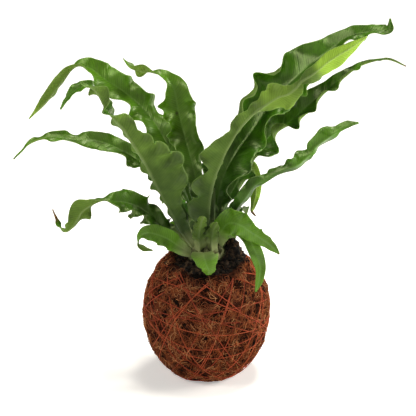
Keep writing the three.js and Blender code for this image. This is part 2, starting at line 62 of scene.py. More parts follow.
# %% Mesh helper
def mesh_piece(name, points, faces, materials, face_material=None, values=None):
    """Make a smooth mesh object from points in millimetres and faces of equal size."""
    points = np.asarray(points, dtype=np.float32).reshape(-1, 3) * MM
    faces = np.asarray(faces, dtype=np.int32)
    corners = faces.shape[1]
    mesh = bpy.data.meshes.new(name)
    mesh.vertices.add(len(points))
    mesh.vertices.foreach_set("co", points.ravel())
    mesh.loops.add(faces.size)
    mesh.loops.foreach_set("vertex_index", faces.ravel())
    mesh.polygons.add(len(faces))
    mesh.polygons.foreach_set("loop_start", np.arange(0, faces.size, corners, dtype=np.int32))
    for material in materials:
        mesh.materials.append(material)
    if face_material is not None:
        mesh.polygons.foreach_set("material_index", np.asarray(face_material, dtype=np.int32))
    mesh.update(calc_edges=True)
    mesh.shade_smooth()
    for key, data in (values or {}).items():
        attribute = mesh.attributes.new(key, "FLOAT_VECTOR", "POINT")
        attribute.data.foreach_set("vector", np.asarray(data, dtype=np.float32).ravel())
    piece = bpy.data.objects.new(name, mesh)
    bpy.context.collection.objects.link(piece)
    return piece


def grid_faces(rows, columns, round_columns=False, start=0):
    """Quads between neighbouring points of a grid; the last column may join the first."""
    row = np.arange(rows - 1)[:, None]
    column = np.arange(columns if round_columns else columns - 1)[None, :]
    beside = (column + 1) % columns
    corners = (row * columns + column, row * columns + beside,
               (row + 1) * columns + beside, (row + 1) * columns + column)
    return start + np.stack(np.broadcast_arrays(*corners), axis=-1).reshape(-1, 4)


def repeated_faces(faces, count, points_each):
    """The same faces for each of many alike forms in one mesh."""
    shifts = np.arange(count) * points_each
    return (faces[None] + shifts[:, None, None]).reshape(-1, faces.shape[1])


def round_bearings(count):
    """Bearings that go once round, as a row."""
    return np.linspace(0, 2 * math.pi, count, endpoint=False)[None, :]


def round_points(r, bearing, z):
    """Points at a radius, a bearing and a height."""
    return np.stack([r * np.cos(bearing), r * np.sin(bearing), z], axis=-1)


# %% [markdown]
# Each finished piece stands for a solid of the imported model: it hides that solid and moves with the
# same body. Nothing on this plant moves, so the only body is the root.

# %% Dressing a solid
def dress(piece, node):
    """Let a piece stand for a solid: hide the solid and move with the root body."""
    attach(piece, "root")
    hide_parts(node)
    print(piece.name, "stands for", node, "with", len(piece.data.polygons), "faces")


# %% [markdown]
# ## Camera
# The plant is seen from a little above, from far enough away that it hardly narrows with distance.
# A long lens 1.3 m away gives that.

# %% Camera
CAMERA_TILT = math.radians(16)
CAMERA_DISTANCE = 1300 * MM
FRAME_WIDTH = 416  # the picture is square, and a pixel is 1 mm at the target
SENSOR = 36
VIEW_FOOT = (1.5, 0, 72)  # the middle of the ball, near enough
TARGET_RISE = 95  # from there to the target, up the picture
rise = np.array([0, math.sin(CAMERA_TILT), math.cos(CAMERA_TILT)]) * TARGET_RISE
target = (np.array(VIEW_FOOT) + rise) * MM
back = np.array([0, -math.cos(CAMERA_TILT), math.sin(CAMERA_TILT)])

camera_data = bpy.data.cameras.new("camera")
camera_data.sensor_width = SENSOR
camera_data.lens = CAMERA_DISTANCE / MM / FRAME_WIDTH * SENSOR
camera = bpy.data.objects.new("camera", camera_data)
camera.location = target + back * CAMERA_DISTANCE
camera.rotation_euler = (math.pi / 2 - CAMERA_TILT, 0, 0)
bpy.context.collection.objects.link(camera)
bpy.context.scene.camera = camera
print("lens", round(camera_data.lens, 1), "mm")


# %% [markdown]
# ## Materials
# A procedural material is a small tree of nodes. One function adds a node, sets it up, links its
# inputs and hands back the output that is wanted. Colours are sRGB hex values, as picked in a paint
# program, and one function turns them into the linear values that Blender mixes.

# %% Node and colour helpers
def linear(hex_colour):
    """Linear RGBA of an sRGB hex colour."""
    channels = [int(hex_colour[i:i + 2], 16) / 255 for i in (1, 3, 5)]
    return [c / 12.92 if c <= 0.04045 else ((c + 0.055) / 1.055) ** 2.4 for c in channels] + [1.0]


def add(tree, kind, inputs, output=0, **settings):
    """Add a shader node; each input is an output to link, a number, a vector or a hex colour."""
    node = tree.nodes.new("ShaderNode" + kind)
    for key, value in settings.items():
        setattr(node, key, value)
    for key, value in inputs.items():
        if isinstance(value, bpy.types.NodeSocket):
            tree.links.new(value, node.inputs[key])
        else:
            node.inputs[key].default_value = linear(value) if isinstance(value, str) else value
    return node.outputs[output]


COLOURS = {"output": 2, "data_type": "RGBA"}  # these make a Mix node mix colours: 6 and 7, by 0


def new_surface(name, **constants):
    """A material with one shader; constants such as roughness go straight on its sockets."""
    material = bpy.data.materials.new(name)
    material.use_nodes = True
    tree = material.node_tree
    shader = tree.nodes["Principled BSDF"]
    for key, value in constants.items():
        shader.inputs[key.replace("_", " ")].default_value = value
    print("material", name)
    return material, tree, shader


# %% [markdown]
# ### The leaf
# A bird's-nest fern leaf is a living leaf with a waxy skin: the wax gives the upper side its soft,
# wide shine, and the underside is paler and dull. Light comes through it, so it scatters a little
# under the skin. Fine side veins run out from the midrib about 1 mm apart. They are too fine to show
# from here, so they are drawn 2.4 mm apart. Between bundles of them the blade is gently pleated,
# which breaks its shine into streaks. A frond's foot is painted darker, as painted shade deep among
# the others, and its stalk is pale, as it holds little green. Each leaf point carries two sets of
# values: where it is on the blade (millimetres along, share across, half width) and how young, dry
# and spotted it is.

# %% Leaf colours
VEIN_SPACING = 2.4
VEIN_SLANT = 0.7  # how far a vein falls back towards the foot for each mm out
VEIN_DEPTH = 0.09
RIB_WIDTH = 0.9
PLEAT = 8.0
PLEAT_DEPTH = 0.9
# The margin is painted lighter: a painted highlight where the blade's edge catches light.
PAINTED_EDGE_HIGHLIGHT_START = 0.955  # share across where the thin bright margin begins
# The foot of each frond is painted darker: painted shade, as deep among the other fronds.
PAINTED_SHADE_FROM = 130  # millimetres along the blade where the deep shade is over
PAINTED_SHADE_FULL_BELOW = 40  # and where it is full
STALK_ENDS = 31  # where the pale stalk has turned green
STALK_PALE_BELOW = 13
LEAF_GREENS = {
    "upper": {"deep": "#163E01", "fresh": "#3E7309", "young": "#739F1E", "vein": "#153502",
              "rib": "#6F9A45", "margin": "#7FA54A", "painted_shade": "#0F2E06", "stalk": "#9CA873"},
    "under": {"deep": "#3C541E", "fresh": "#58742E", "young": "#8CB037", "vein": "#283C11",
              "rib": "#8D9E68", "margin": "#7E9A52", "painted_shade": "#22341A", "stalk": "#9CA873"},
}


def leaf_skin(name, side, vein_share, rib_share, painted_shade_share, **constants):
    """One side of the leaf; the shares say how strongly veins, rib and the painted foot shade show."""
    material, tree, shader = new_surface(name, **constants)
    greens = LEAF_GREENS[side]
    blade = add(tree, "Attribute", {}, "Vector", attribute_name="blade")
    run, across, half = (add(tree, "SeparateXYZ", {0: blade}, axis) for axis in "XYZ")
    tone = add(tree, "Attribute", {}, "Vector", attribute_name="tone")
    young, dry, spot = (add(tree, "SeparateXYZ", {0: tone}, axis) for axis in "XYZ")
    place = add(tree, "TexCoord", {}, "Object")

    # Green in patches of about 19 mm, yellower where it is young.
    patches = add(tree, "TexNoise", {"Vector": place, "Scale": 1 / (19 * MM), "Detail": 3.0})
    patches = add(tree, "MapRange", {"Value": patches, "From Min": 0.36, "From Max": 0.64})
    green = add(tree, "Mix", {0: patches, 6: greens["deep"], 7: greens["fresh"]}, **COLOURS)
    green = add(tree, "Mix", {0: young, 6: green, 7: greens["young"]}, **COLOURS)

    # Veins that fade in and out, the pale rib, and a thin painted highlight along the margin.
    share = add(tree, "Math", {0: across}, operation="ABSOLUTE")
    off_rib = add(tree, "Math", {0: share, 1: half}, operation="MULTIPLY")
    slant = add(tree, "Math", {0: off_rib, 1: -VEIN_SLANT, 2: run}, operation="MULTIPLY_ADD")
    turns = add(tree, "Math", {0: slant, 1: 2 * math.pi / VEIN_SPACING}, operation="MULTIPLY")
    wave = add(tree, "Math", {0: turns}, operation="SINE")
    vein = add(tree, "MapRange", {"Value": wave, "From Min": -1.0, "From Max": 1.0})
    fading = add(tree, "TexNoise", {"Vector": place, "Scale": 1 / (6 * MM), "Detail": 2.0})
    faint = add(tree, "Math", {0: vein, 1: fading}, operation="MULTIPLY")
    faint = add(tree, "Math", {0: faint, 1: vein_share}, operation="MULTIPLY")
    green = add(tree, "Mix", {0: faint, 6: green, 7: greens["vein"]}, **COLOURS)

    rib = add(tree, "MapRange", {"Value": off_rib, "From Min": RIB_WIDTH * 1.7, "From Max": RIB_WIDTH * 0.4})
    rib = add(tree, "Math", {0: rib, 1: rib_share}, operation="MULTIPLY")
    green = add(tree, "Mix", {0: rib, 6: green, 7: greens["rib"]}, **COLOURS)
    # Painted highlight: a thin lighter line along the margin.
    margin = add(tree, "MapRange", {"Value": share, "From Min": PAINTED_EDGE_HIGHLIGHT_START, "From Max": 1.0, "To Max": 0.5})
    green = add(tree, "Mix", {0: margin, 6: green, 7: greens["margin"]}, **COLOURS)

    # Painted shade at the foot, deep among the other fronds; pale stalk, dry tip and spots.
    foot = add(tree, "MapRange", {
        "Value": run, "From Min": PAINTED_SHADE_FROM, "From Max": PAINTED_SHADE_FULL_BELOW, "To Max": painted_shade_share})
    green = add(tree, "Mix", {0: foot, 6: green, 7: greens["painted_shade"]}, **COLOURS)
    stalk = add(tree, "MapRange", {
        "Value": run, "From Min": STALK_ENDS, "From Max": STALK_PALE_BELOW, "To Max": 0.8})
    green = add(tree, "Mix", {0: stalk, 6: green, 7: greens["stalk"]}, **COLOURS)
    crumple = add(tree, "TexNoise", {"Vector": place, "Scale": 1 / (3 * MM), "Detail": 3.0})
    brown = add(tree, "Mix", {0: crumple, 6: "#2A1A10", 7: "#8A6A44"}, **COLOURS)
    green = add(tree, "Mix", {0: dry, 6: green, 7: brown}, **COLOURS)
    green = add(tree, "Mix", {0: spot, 6: green, 7: "#1E140A"}, **COLOURS)
    tree.links.new(green, shader.inputs["Base Color"])
    # Pleats, with the veins on top of them.
    lie = add(tree, "Math", {0: slant, 1: 1 / PLEAT}, operation="MULTIPLY")
    pleat = add(tree, "TexNoise", {"W": lie, "Scale": 1.0, "Detail": 1.5}, noise_dimensions="1D")
    pleats = add(tree, "Bump", {"Height": pleat, "Distance": PLEAT_DEPTH * MM, "Strength": 1.0})
    relief = add(tree, "Bump", {
        "Height": vein, "Distance": VEIN_DEPTH * MM, "Strength": 0.8, "Normal": pleats})
    tree.links.new(relief, shader.inputs["Normal"])
    return material


# %% [markdown]
# The upper skin is smooth wax over a living leaf: medium roughness with a thin smoother coat, and a
# shine that keeps some of the leaf's own green. The lower skin has no wax and is rougher, and a
# young leaf has not grown its wax yet. Light goes further through a leaf as green than as blue.

# %% Leaf materials
LEAF_GLOW = {"Subsurface_Radius": (0.9, 1.4, 0.3), "Subsurface_Scale": 1.2 * MM}
LEAF_UPPER = leaf_skin(
    "fern_leaf_upper_waxy", "upper", 0.45, 0.25, 0.75, Roughness=0.38, IOR=1.45, Specular_IOR_Level=0.45,
    Specular_Tint=linear("#D6EBA0"), Coat_Weight=0.1, Coat_Roughness=0.3, Subsurface_Weight=0.12,
    **LEAF_GLOW)
LEAF_UNDER = leaf_skin(
    "fern_leaf_underside_dull", "under", 0.35, 0.36, 0.75, Roughness=0.6, IOR=1.4, Specular_IOR_Level=0.15,
    Subsurface_Weight=0.12, **LEAF_GLOW)
LEAF_YOUNG = leaf_skin(
    "fern_leaf_young_matte", "upper", 0.35, 0.35, 0.0, Roughness=0.6, IOR=1.4, Specular_IOR_Level=0.25,
    Subsurface_Weight=0.15, **LEAF_GLOW)

# %% [markdown]
# ## Fronds
# Each frond is an undivided strap that rises from the rootstock, arches over and tapers to a tip. It
# is drawn as stations along its midrib: x, y, z and width in millimetres, and which way its upper
# side faces in degrees (0 to the front, 90 up and inwards, 180 to the back). A frond that grows to
# the front or back is measured from straight up instead. The two halves of a blade have their own
# ways, given as a pair: "fold" is how far a half stands up from flat, "bend" how much further its
# margin curls up, "swing" how far the margin waves to and fro, all in degrees. Each may follow the
# stations as a list. "split" is the left half's share of the width, "ripple" is the length of a
# wave, and "reference" is the direction that facings are measured from, if not the front.

# %% Frond stations
FRONT = np.array([0.0, -1.0, 0.0])
UP = np.array([0.0, 0.0, 1.0])

FRONDS = {
  "arch_left": {
    "stations": [
      [-9, 10, 129, 6, 60], [-16, 26, 163, 13, 40], [-30, 40, 203, 26, 30], [-51, 51, 243, 32, 26],
      [-77, 55, 271, 33, 28], [-104, 52, 291, 30, 36], [-117, 49, 301, 22, 48], [-128, 44, 303, 13, 88],
      [-143, 37, 288, 17, 128], [-156, 31, 272, 15, 130], [-174, 27, 254, 2, 110],
    ],
    "swing": [[90] * 4 + [86, 70, 46, 34, 26, 20, 20]] * 2,
    "bend": [[0] * 6 + [20, 50, 60, 40, 20], 0],
    "ripple": 35,
  },
  "broad_left": {
    "stations": [
      [-9, -7, 127, 8, 150], [-22, -16, 148, 15, 152], [-32, -24, 170, 20, 153], [-39, -30, 184, 27, 153],
      [-45, -37, 198, 41, 153], [-53, -42, 216, 43, 152], [-61, -49, 234, 30, 150], [-69, -55, 249, 21, 150],
      [-75, -59, 261, 19, 165], [-82, -62, 270, 22, 172], [-88, -64, 278, 17, 95], [-92, -65, 284, 16, 40],
      [-95, -67, 291, 17, 130], [-98, -70, 298, 22, 165], [-104, -73, 304, 14, 100],
      [-113, -72, 304, 13, 55], [-121, -70, 298, 10, 50], [-132, -67, 283, 2, 50],
    ],
    "split": [0.5, 0.55, 0.55, 0.6, 0.72, 0.8, 0.8, 0.75, 0.65, 0.55] + [0.5] * 8,
    "fold": [[30] * 4 + [32, 34, 34, 32, 28, 25] + [20] * 8, 40],
    "swing": [[30, 34, 40, 46, 50, 54, 54, 54, 50, 44] + [40] * 4 + [30, 25, 20, 20], 60],
    "ripple": 19,
  },
  "low_far_left": {
    "stations": [
      [-13, 2, 127, 5, 70], [-26, 6, 167, 12, 60], [-46, 11, 196, 18, 50], [-66, 14, 214, 22, 42],
      [-87, 16, 227, 21, 38], [-109, 16, 235, 19, 40], [-130, 15, 236, 16, 50], [-152, 12, 239, 13, 64],
      [-172, 10, 233, 8, 78], [-188, 8, 218, 2, 80],
    ],
    "swing": 86, "ripple": 35,
  },
  "front_left": {
    "stations": [
      [-14, 0, 126, 6, 60], [-27, 3, 137, 12, 45], [-42, 4, 149, 22, 34], [-56, 0, 165, 27, 30],
      [-75, -14, 180, 27, 32], [-89, -27, 185, 20, 50], [-99, -30, 187, 9, 95], [-108, -33, 184, 22, 140],
      [-118, -34, 177, 25, 150], [-127, -34, 163, 17, 140], [-134, -34, 157, 9, 110],
      [-141, -32, 162, 8, 80], [-147, -30, 178, 2, 80],
    ],
    "swing": 95, "ripple": 24,
  },
  "short_left": {
    "stations": [
      [-13, -10, 125, 7, 50], [-26, -23, 138, 15, 38], [-38, -31, 149, 20, 30], [-49, -36, 155, 19, 28],
      [-57, -39, 157, 15, 35], [-63, -40, 154, 11, 70], [-65, -39, 146, 8, 110], [-60, -34, 141, 8, 120],
      [-52, -30, 137, 2, 120],
    ],
    "young": True, "fold": [10, 16], "swing": 30, "ripple": 19,
  },
  "upright": {
    "stations": [
      [-4, 7, 132, 6, 20], [-7, 14, 170, 13, 12], [-12, 21, 202, 18, 8], [-21, 28, 234, 33, 5],
      [-28, 32, 262, 37, 6], [-32, 32, 283, 28, 18], [-39, 30, 294, 14, 55], [-53, 28, 300, 15, 100],
      [-64, 23, 302, 21, 112], [-74, 21, 306, 15, 112], [-80, 19, 315, 2, 110],
    ],
    "fold": 14, "ripple": 33, "swing": 84,
  },
  "broad_right": {
    "stations": [
      [0, -8, 129, 10, 150], [2, -23, 157, 21, 145], [3, -35, 184, 23, 142], [6, -41, 203, 22, 142],
      [10, -46, 219, 13, 142], [14, -49, 228, 27, 142], [18, -52, 239, 28, 142], [23, -54, 249, 16, 143],
      [29, -56, 260, 13, 145], [36, -58, 269, 14, 150], [43, -60, 277, 12, 155], [51, -61, 283, 15, 162],
      [58, -61, 288, 24, 172], [66, -61, 293, 27, 180], [74, -62, 296, 23, 185], [81, -61, 301, 14, 185],
      [86, -61, 307, 6, 178], [96, -61, 314, 18, 160], [113, -58, 327, 22, 152], [130, -55, 337, 15, 150],
      [145, -53, 347, 2, 150],
    ],
    "fold": [
      [55] * 9 + [50, 50, 40, 20] + [15] * 4 + [10, 10, 10, 5],
      [26] * 9 + [30, 30, 20, 12] + [10] * 7 + [5],
    ],
    "swing": [
      [40] * 15 + [30, 20, 10, 8, 8, 8],
      [60, 64, 66] + [70] * 6 + [66, 60, 56, 50, 44, 40, 30, 20, 12, 8, 8, 8],
    ],
    "ripple": 21,
    "split": [
      0.8, 0.2, 0.15, 0.2, 0.3, 0.2, 0.2, 0.25, 0.3, 0.2, 0.35, 0.4, 0.4, 0.5, 0.6, 0.65, 0.5, 0.6, 0.6, 0.6,
      0.5,
    ],
  },
  "long_right": {
    "stations": [
      [5, 9, 131, 8, 20], [10, 8, 171, 20, 15], [16, 9, 197, 46, 12], [27, 13, 220, 56, 12],
      [41, 21, 238, 62, 14], [55, 28, 256, 64, 18], [68, 35, 272, 60, 22], [82, 40, 287, 54, 24],
      [96, 43, 300, 46, 26], [110, 47, 311, 38, 26], [124, 46, 322, 27, 30], [140, 44, 333, 20, 42],
      [161, 43, 338, 14, 40], [178, 40, 341, 9, 20], [178, 37, 351, 2, 20],
    ],
    "split": [0.5, 0.5, 0.5, 0.56, 0.66, 0.68, 0.66, 0.6, 0.54, 0.48, 0.45, 0.45, 0.5, 0.5, 0.5],
    "fold": [
      [0] * 8 + [5, 10, 15, 25, 25, 20, 20],
      [20, 30, 40, 44, 44, 42, 40, 36, 26, 12, 10, 20, 25, 20, 20],
    ],
    "bend": [[0, 0, 60, 130, 150, 150, 140, 110, 50, 10] + [0] * 5, 0],
    "swing": [40, 70], "ripple": 31,
  },
  "far_right": {
    "stations": [
      [10, 8, 129, 6, 45], [18, 25, 163, 20, 35], [30, 38, 185, 38, 30], [42, 46, 207, 42, 30],
      [56, 47, 224, 40, 32], [71, 47, 239, 34, 34], [89, 44, 252, 28, 30], [103, 41, 267, 25, 25],
      [119, 40, 281, 19, 40], [136, 35, 296, 12, 35], [152, 31, 307, 8, 60], [175, 26, 313, 5, 80],
      [193, 22, 307, 2, 80],
    ],
    "fold": [10, 22], "bend": [0, 80], "ripple": 31, "swing": [50, 115],
  },
  "slim_right": {
    "stations": [
      [12, -3, 128, 5, 40], [21, -11, 156, 8, 30], [30, -20, 177, 11, 30], [38, -24, 189, 15, 20],
      [45, -26, 200, 13, 20], [55, -28, 207, 10, 30], [66, -29, 214, 9, 40], [77, -29, 218, 12, 25],
      [86, -29, 221, 19, 10], [93, -28, 227, 21, 15], [99, -28, 233, 9, 50], [104, -27, 239, 17, 15],
      [113, -27, 246, 22, 10], [120, -26, 251, 17, 25], [125, -24, 255, 8, 50], [134, -22, 259, 8, 40],
      [144, -20, 260, 2, 50],
    ],
    "split": [0.6] * 17, "fold": [10, -66], "swing": [75, 16], "ripple": 23,
  },
  "drooping_back_right": {
    "stations": [
      [7, 23, 127, 6, 60], [21, 59, 162, 9, 60], [34, 78, 192, 10, 80], [44, 83, 195, 11, 130],
      [50, 82, 184, 12, 170], [51, 79, 165, 12, 180], [48, 76, 150, 5, 180], [47, 75, 146, 3, 180],
      [51, 73, 141, 1.5, 180],
    ],
    "young": True,
  },
  "low_right": {
    "stations": [
      [10, -4, 129, 8, 20], [12, -12, 143, 13, 14], [15, -19, 154, 22, 10], [22, -25, 163, 28, 10],
      [33, -33, 163, 27, 12], [41, -39, 159, 18, 15], [53, -45, 153, 13, 18], [62, -49, 147, 9, 20],
      [69, -51, 140, 2, 25],
    ],
    "young": True, "fold": [6, 8], "ripple": 12,
    "split": [0.5, 0.45, 0.45] + [0.5] * 6,
    "swing": 52,
  },
  "hanging_right": {
    "stations": [
      [13, 4, 129, 6, 40], [22, 2, 144, 8, 40], [32, -11, 150, 10, 35], [41, -30, 148, 13, 25],
      [47, -44, 139, 14, 20], [51, -53, 128, 11, 18], [50, -54, 115, 9, 15], [47, -53, 103, 2, 15],
    ],
    "young": True, "fold": [10, 10], "swing": 24, "ripple": 24,
  },
  "front_short": {
    "stations": [
      [-3, -15, 127, 8, 0], [-3, -23, 132, 10, 0], [-3, -33, 134, 22, 0], [-2, -40, 132, 29, 0],
      [0, -46, 127, 21, 0], [2, -49, 123, 15, 0], [2, -51, 119, 4, 0],
    ],
    "reference": UP, "young": True, "fold": [8, 8], "swing": 36, "ripple": 13,
  },
  "front_stub": {
    "stations": [
      [-7, -12, 124, 12.5, 180], [-6, -20, 137, 14, 180], [-7, -32, 151, 14, 178], [-6, -42, 163, 13, 176],
      [-4, -50, 173, 9, 176], [-3, -53, 178, 3, 176],
    ],
    "young": True, "fold": 34, "swing": 80, "ripple": 11,
  },
  "front_bud": {
    "stations": [
      [6, -13, 125, 9, 196], [5, -22, 138, 12, 194], [5, -32, 150, 14, 192], [6, -38, 159, 13, 190],
      [8, -42, 165, 9, 188], [10, -43, 169, 3, 188],
    ],
    "young": True, "fold": 30, "swing": 75, "ripple": 13,
  },
  "inner_narrow": {
    "stations": [[6, -2, 131, 5, 150], [7, 0, 163, 10, 150], [8, 4, 190, 2, 150]],
  },
  "back": {
    "stations": [
      [2, 18, 124, 6, 0], [3, 44, 142, 14, 0], [5, 75, 142, 22, 0], [7, 105, 132, 18, 0],
      [8, 130, 112, 2, 0],
    ],
    "reference": UP,
  },
  "back_left": {
    "stations": [
      [-8, 16, 125, 6, 0], [-20, 38, 151, 14, 0], [-31, 64, 158, 24, 0], [-40, 90, 157, 18, 0],
      [-47, 112, 144, 2, 0],
    ],
    "reference": UP,
  },
  "back_right": {
    "stations": [
      [13, 16, 126, 6, 0], [24, 37.5, 149, 13, 0], [31, 58, 151, 22, 0], [37, 76, 149, 16, 0],
      [42, 94, 137, 2, 0],
    ],
    "reference": UP,
  },
  "low_back_left": {
    "stations": [[-14, 9, 125, 6, 0], [-25, 25, 138, 12, 0], [-35, 42, 141, 15, 0], [-45, 58, 134, 2, 0]],
    "reference": UP, "young": True,
  },
  "low_back_right": {
    "stations": [[17, 7, 126, 6, 0], [29, 19, 140, 12, 0], [40, 32, 141, 14, 0], [50, 45, 135, 2, 0]],
    "reference": UP, "young": True,
  },
}
print("fronds to grow:", len(FRONDS))

# %% [markdown]
# The midrib is a smooth curve through the stations. We sample it very finely once, then read places
# off at even lengths, so that ruffles keep their size all along the blade.

# %% The midrib
SAMPLES = 60  # per stretch between two stations


def smooth_stretch(p0, p1, p2, p3, share):
    """Centripetal Catmull-Rom curve from p1 to p2."""
    gap0, gap1, gap2 = (max(np.linalg.norm(b - a), 1e-6) ** 0.5 for a, b in ((p0, p1), (p1, p2), (p2, p3)))
    lead = ((p1 - p0) / gap0 - (p2 - p0) / (gap0 + gap1) + (p2 - p1) / gap1) * gap1
    trail = ((p2 - p1) / gap1 - (p3 - p1) / (gap1 + gap2) + (p3 - p2) / gap2) * gap1
    w = share[:, None]
    square = 3 * (p2 - p1) - 2 * lead - trail
    cube = 2 * (p1 - p2) + lead + trail
    return p1 + lead * w + square * w ** 2 + cube * w ** 3


def midrib(stations):
    """Fine points of the rib, their length along it and their place from 0 to 1 by station."""
    knots = np.array([station[:3] for station in stations], dtype=float)
    knots = np.vstack([2 * knots[0] - knots[1], knots, 2 * knots[-1] - knots[-2]])
    share = np.linspace(0, 1, SAMPLES, endpoint=False)
    stretches = [smooth_stretch(*knots[i:i + 4], share) for i in range(len(knots) - 3)]
    points = np.vstack(stretches + [knots[-2][None]])
    run = np.concatenate([[0], np.cumsum(np.linalg.norm(np.diff(points, axis=0), axis=1))])
    return points, run, np.linspace(0, 1, len(points))


longest = max(midrib(shape["stations"])[1][-1] for shape in FRONDS.values())
print("longest frond:", round(longest), "mm")


# %% [markdown]
# Across the rib, each half of the blade is a strip that leaves the rib at its fold angle and bends
# more and more towards its margin. The bend swings to and fro along the leaf, out of step on the two
# sides, which makes the waves that the fern is grown for: where it swings far, the margin rolls over
# and shows the other side. A fine crimp runs along the outer edge.

# %% The blade
FOLD = 20  # degrees and millimetres that hold where a frond gives none
BEND = 0
SWING = 70
RIPPLE = 25
SCALLOP = 0.13  # how far the width swells and shrinks with a wave, as a share
DRIFT = 1.3  # how unevenly the waves are spaced, in radians
LAG = 2.2  # how far the left half's waves run ahead, in radians
BARE = 42  # the first stretch of a frond has no waves
CRIMP = 15  # fine crimp of the margin: degrees, and length of a crimp
CRIMP_RIPPLE = 9.5
NICK = 0.045  # and how much it cuts into the margin, as a share
SWAY = 9  # degrees that the whole blade turns to and fro
BLADE = 0.8  # thickness of the blade and of its stalk
STALK = 2.2
STALK_SHARE = 0.25  # the first part of a frond, where the stalk thins to the blade
RIB_RISE = 0.9  # how far the midrib stands out of the underside
ROW = 1.4  # distance between rows of points
HALF_COLUMNS = 11  # points from the rib to the margin


def unit(vectors):
    """Vectors scaled to length one."""
    return vectors / np.maximum(np.linalg.norm(vectors, axis=-1, keepdims=True), 1e-9)


def ease(share):
    """Smooth step from 0 to 1."""
    share = np.clip(share, 0, 1)
    return share * share * (3 - 2 * share)


def half_value(shape, key, default, half, spot):
    """A column with a blade's own number for its left (0) or right (1) half at every row."""
    value = shape.get(key, default)
    value = value[half] if isinstance(value, list) else value
    value = np.interp(spot, np.arange(len(value)), value) if isinstance(value, list) else value + 0 * spot
    return value[:, None]


def half_blade(shape, half, runs, spot, width, seed):
    """Where each point of a half lies: how far out from the rib and how far up, in millimetres."""
    even = [0.5] * len(shape["stations"])
    split = np.interp(spot, np.arange(len(even)), shape.get("split", even))
    width = width * (split if half == 0 else 1 - split)
    edge = np.linspace(0, 1, HALF_COLUMNS + 1) ** 1.15
    lag = LAG if half == 0 else 0.0
    along = runs[:, None]
    ripple = 2 * math.pi / shape.get("ripple", RIPPLE)
    phase = ripple * along + shape.get("phase", 0) + lag + DRIFT * np.sin(along / 33 + 2 * lag)
    phase = phase + 0.95 * np.sin(along / 14.3 + seed + lag)
    wave = np.sin(phase) + 0.22 * np.sin(2 * phase + 1.1)
    strength = (0.70 + 0.38 * np.sin(along / 18 + 2 * lag + seed)) * ease(along / BARE)
    crimp_phase = 2 * math.pi * along / CRIMP_RIPPLE + 2.3 * np.sin(along / 17 + seed + lag) + seed
    swing = half_value(shape, "swing", SWING, half, spot)
    lively = strength * np.clip(swing / SWING, 0, 1)
    crimp = lively * np.sin(crimp_phase) * (0.6 + 0.4 * np.sin(along / 11 + 2 * seed))

    middle_edge = (edge[1:] + edge[:-1]) / 2
    turn = half_value(shape, "fold", FOLD, half, spot) + CRIMP * crimp * middle_edge ** 5
    bend = half_value(shape, "bend", BEND, half, spot)
    turn = turn + (bend + swing * strength * wave) * middle_edge ** 1.4
    size = width[:, None] * (1 + SCALLOP * lively * np.cos(phase) + NICK * crimp)
    out = np.cumsum(np.cos(np.radians(turn)) * np.diff(edge), axis=1) * size
    up = np.cumsum(np.sin(np.radians(turn)) * np.diff(edge), axis=1) * size
    return edge[1:], out, up


def blade_sheet(shape, seed):
    """Middle sheet of a blade, with the run, share across and half width of each point."""
    stations = shape["stations"]
    points, run, place = midrib(stations)
    rows = max(12, round(run[-1] / ROW))
    runs = np.linspace(0, run[-1], rows)
    middle = np.stack([np.interp(runs, run, points[:, axis]) for axis in range(3)], axis=-1)
    ahead = unit(np.gradient(middle, axis=0))
    spot = np.interp(runs, run, place) * (len(stations) - 1)
    index = np.minimum(spot.astype(int), len(stations) - 2)
    share = 0.5 * ease(spot - index) + 0.5 * (spot - index)
    table = np.array([station[3:5] for station in stations], dtype=float)
    width, facing = (table[index] * (1 - share[:, None]) + table[index + 1] * share[:, None]).T
    sway = SWAY * ease(runs / BARE) * np.sin(runs / 9.5 + 2.2 * np.sin(runs / 37) + seed)
    facing = np.radians(facing + sway)[:, None]

    reference = shape.get("reference", FRONT)
    hand = 1 if stations[-1][0] < stations[0][0] else -1
    front = unit(reference - ahead * (ahead @ reference)[:, None])
    normal = front * np.cos(facing) + np.cross(ahead, front) * hand * np.sin(facing)
    side = np.cross(ahead, normal)

    halves = []
    for half, way in enumerate((-side, side)):
        edge, out, up = half_blade(shape, half, runs, spot, width, seed)
        halves.append(middle[:, None] + way[:, None] * out[..., None] + normal[:, None] * up[..., None])
    sheet = np.concatenate([halves[0][:, ::-1], middle[:, None], halves[1]], axis=1)
    across = np.concatenate([-edge[::-1], [0.0], edge])
    return sheet, *np.broadcast_arrays(runs[:, None], across[None, :], width[:, None] / 2)


# %% [markdown]
# A blade is two faces and a rim. The two faces have a skin each, so the underside is its own
# material, and the midrib is a ridge that stands out of it.

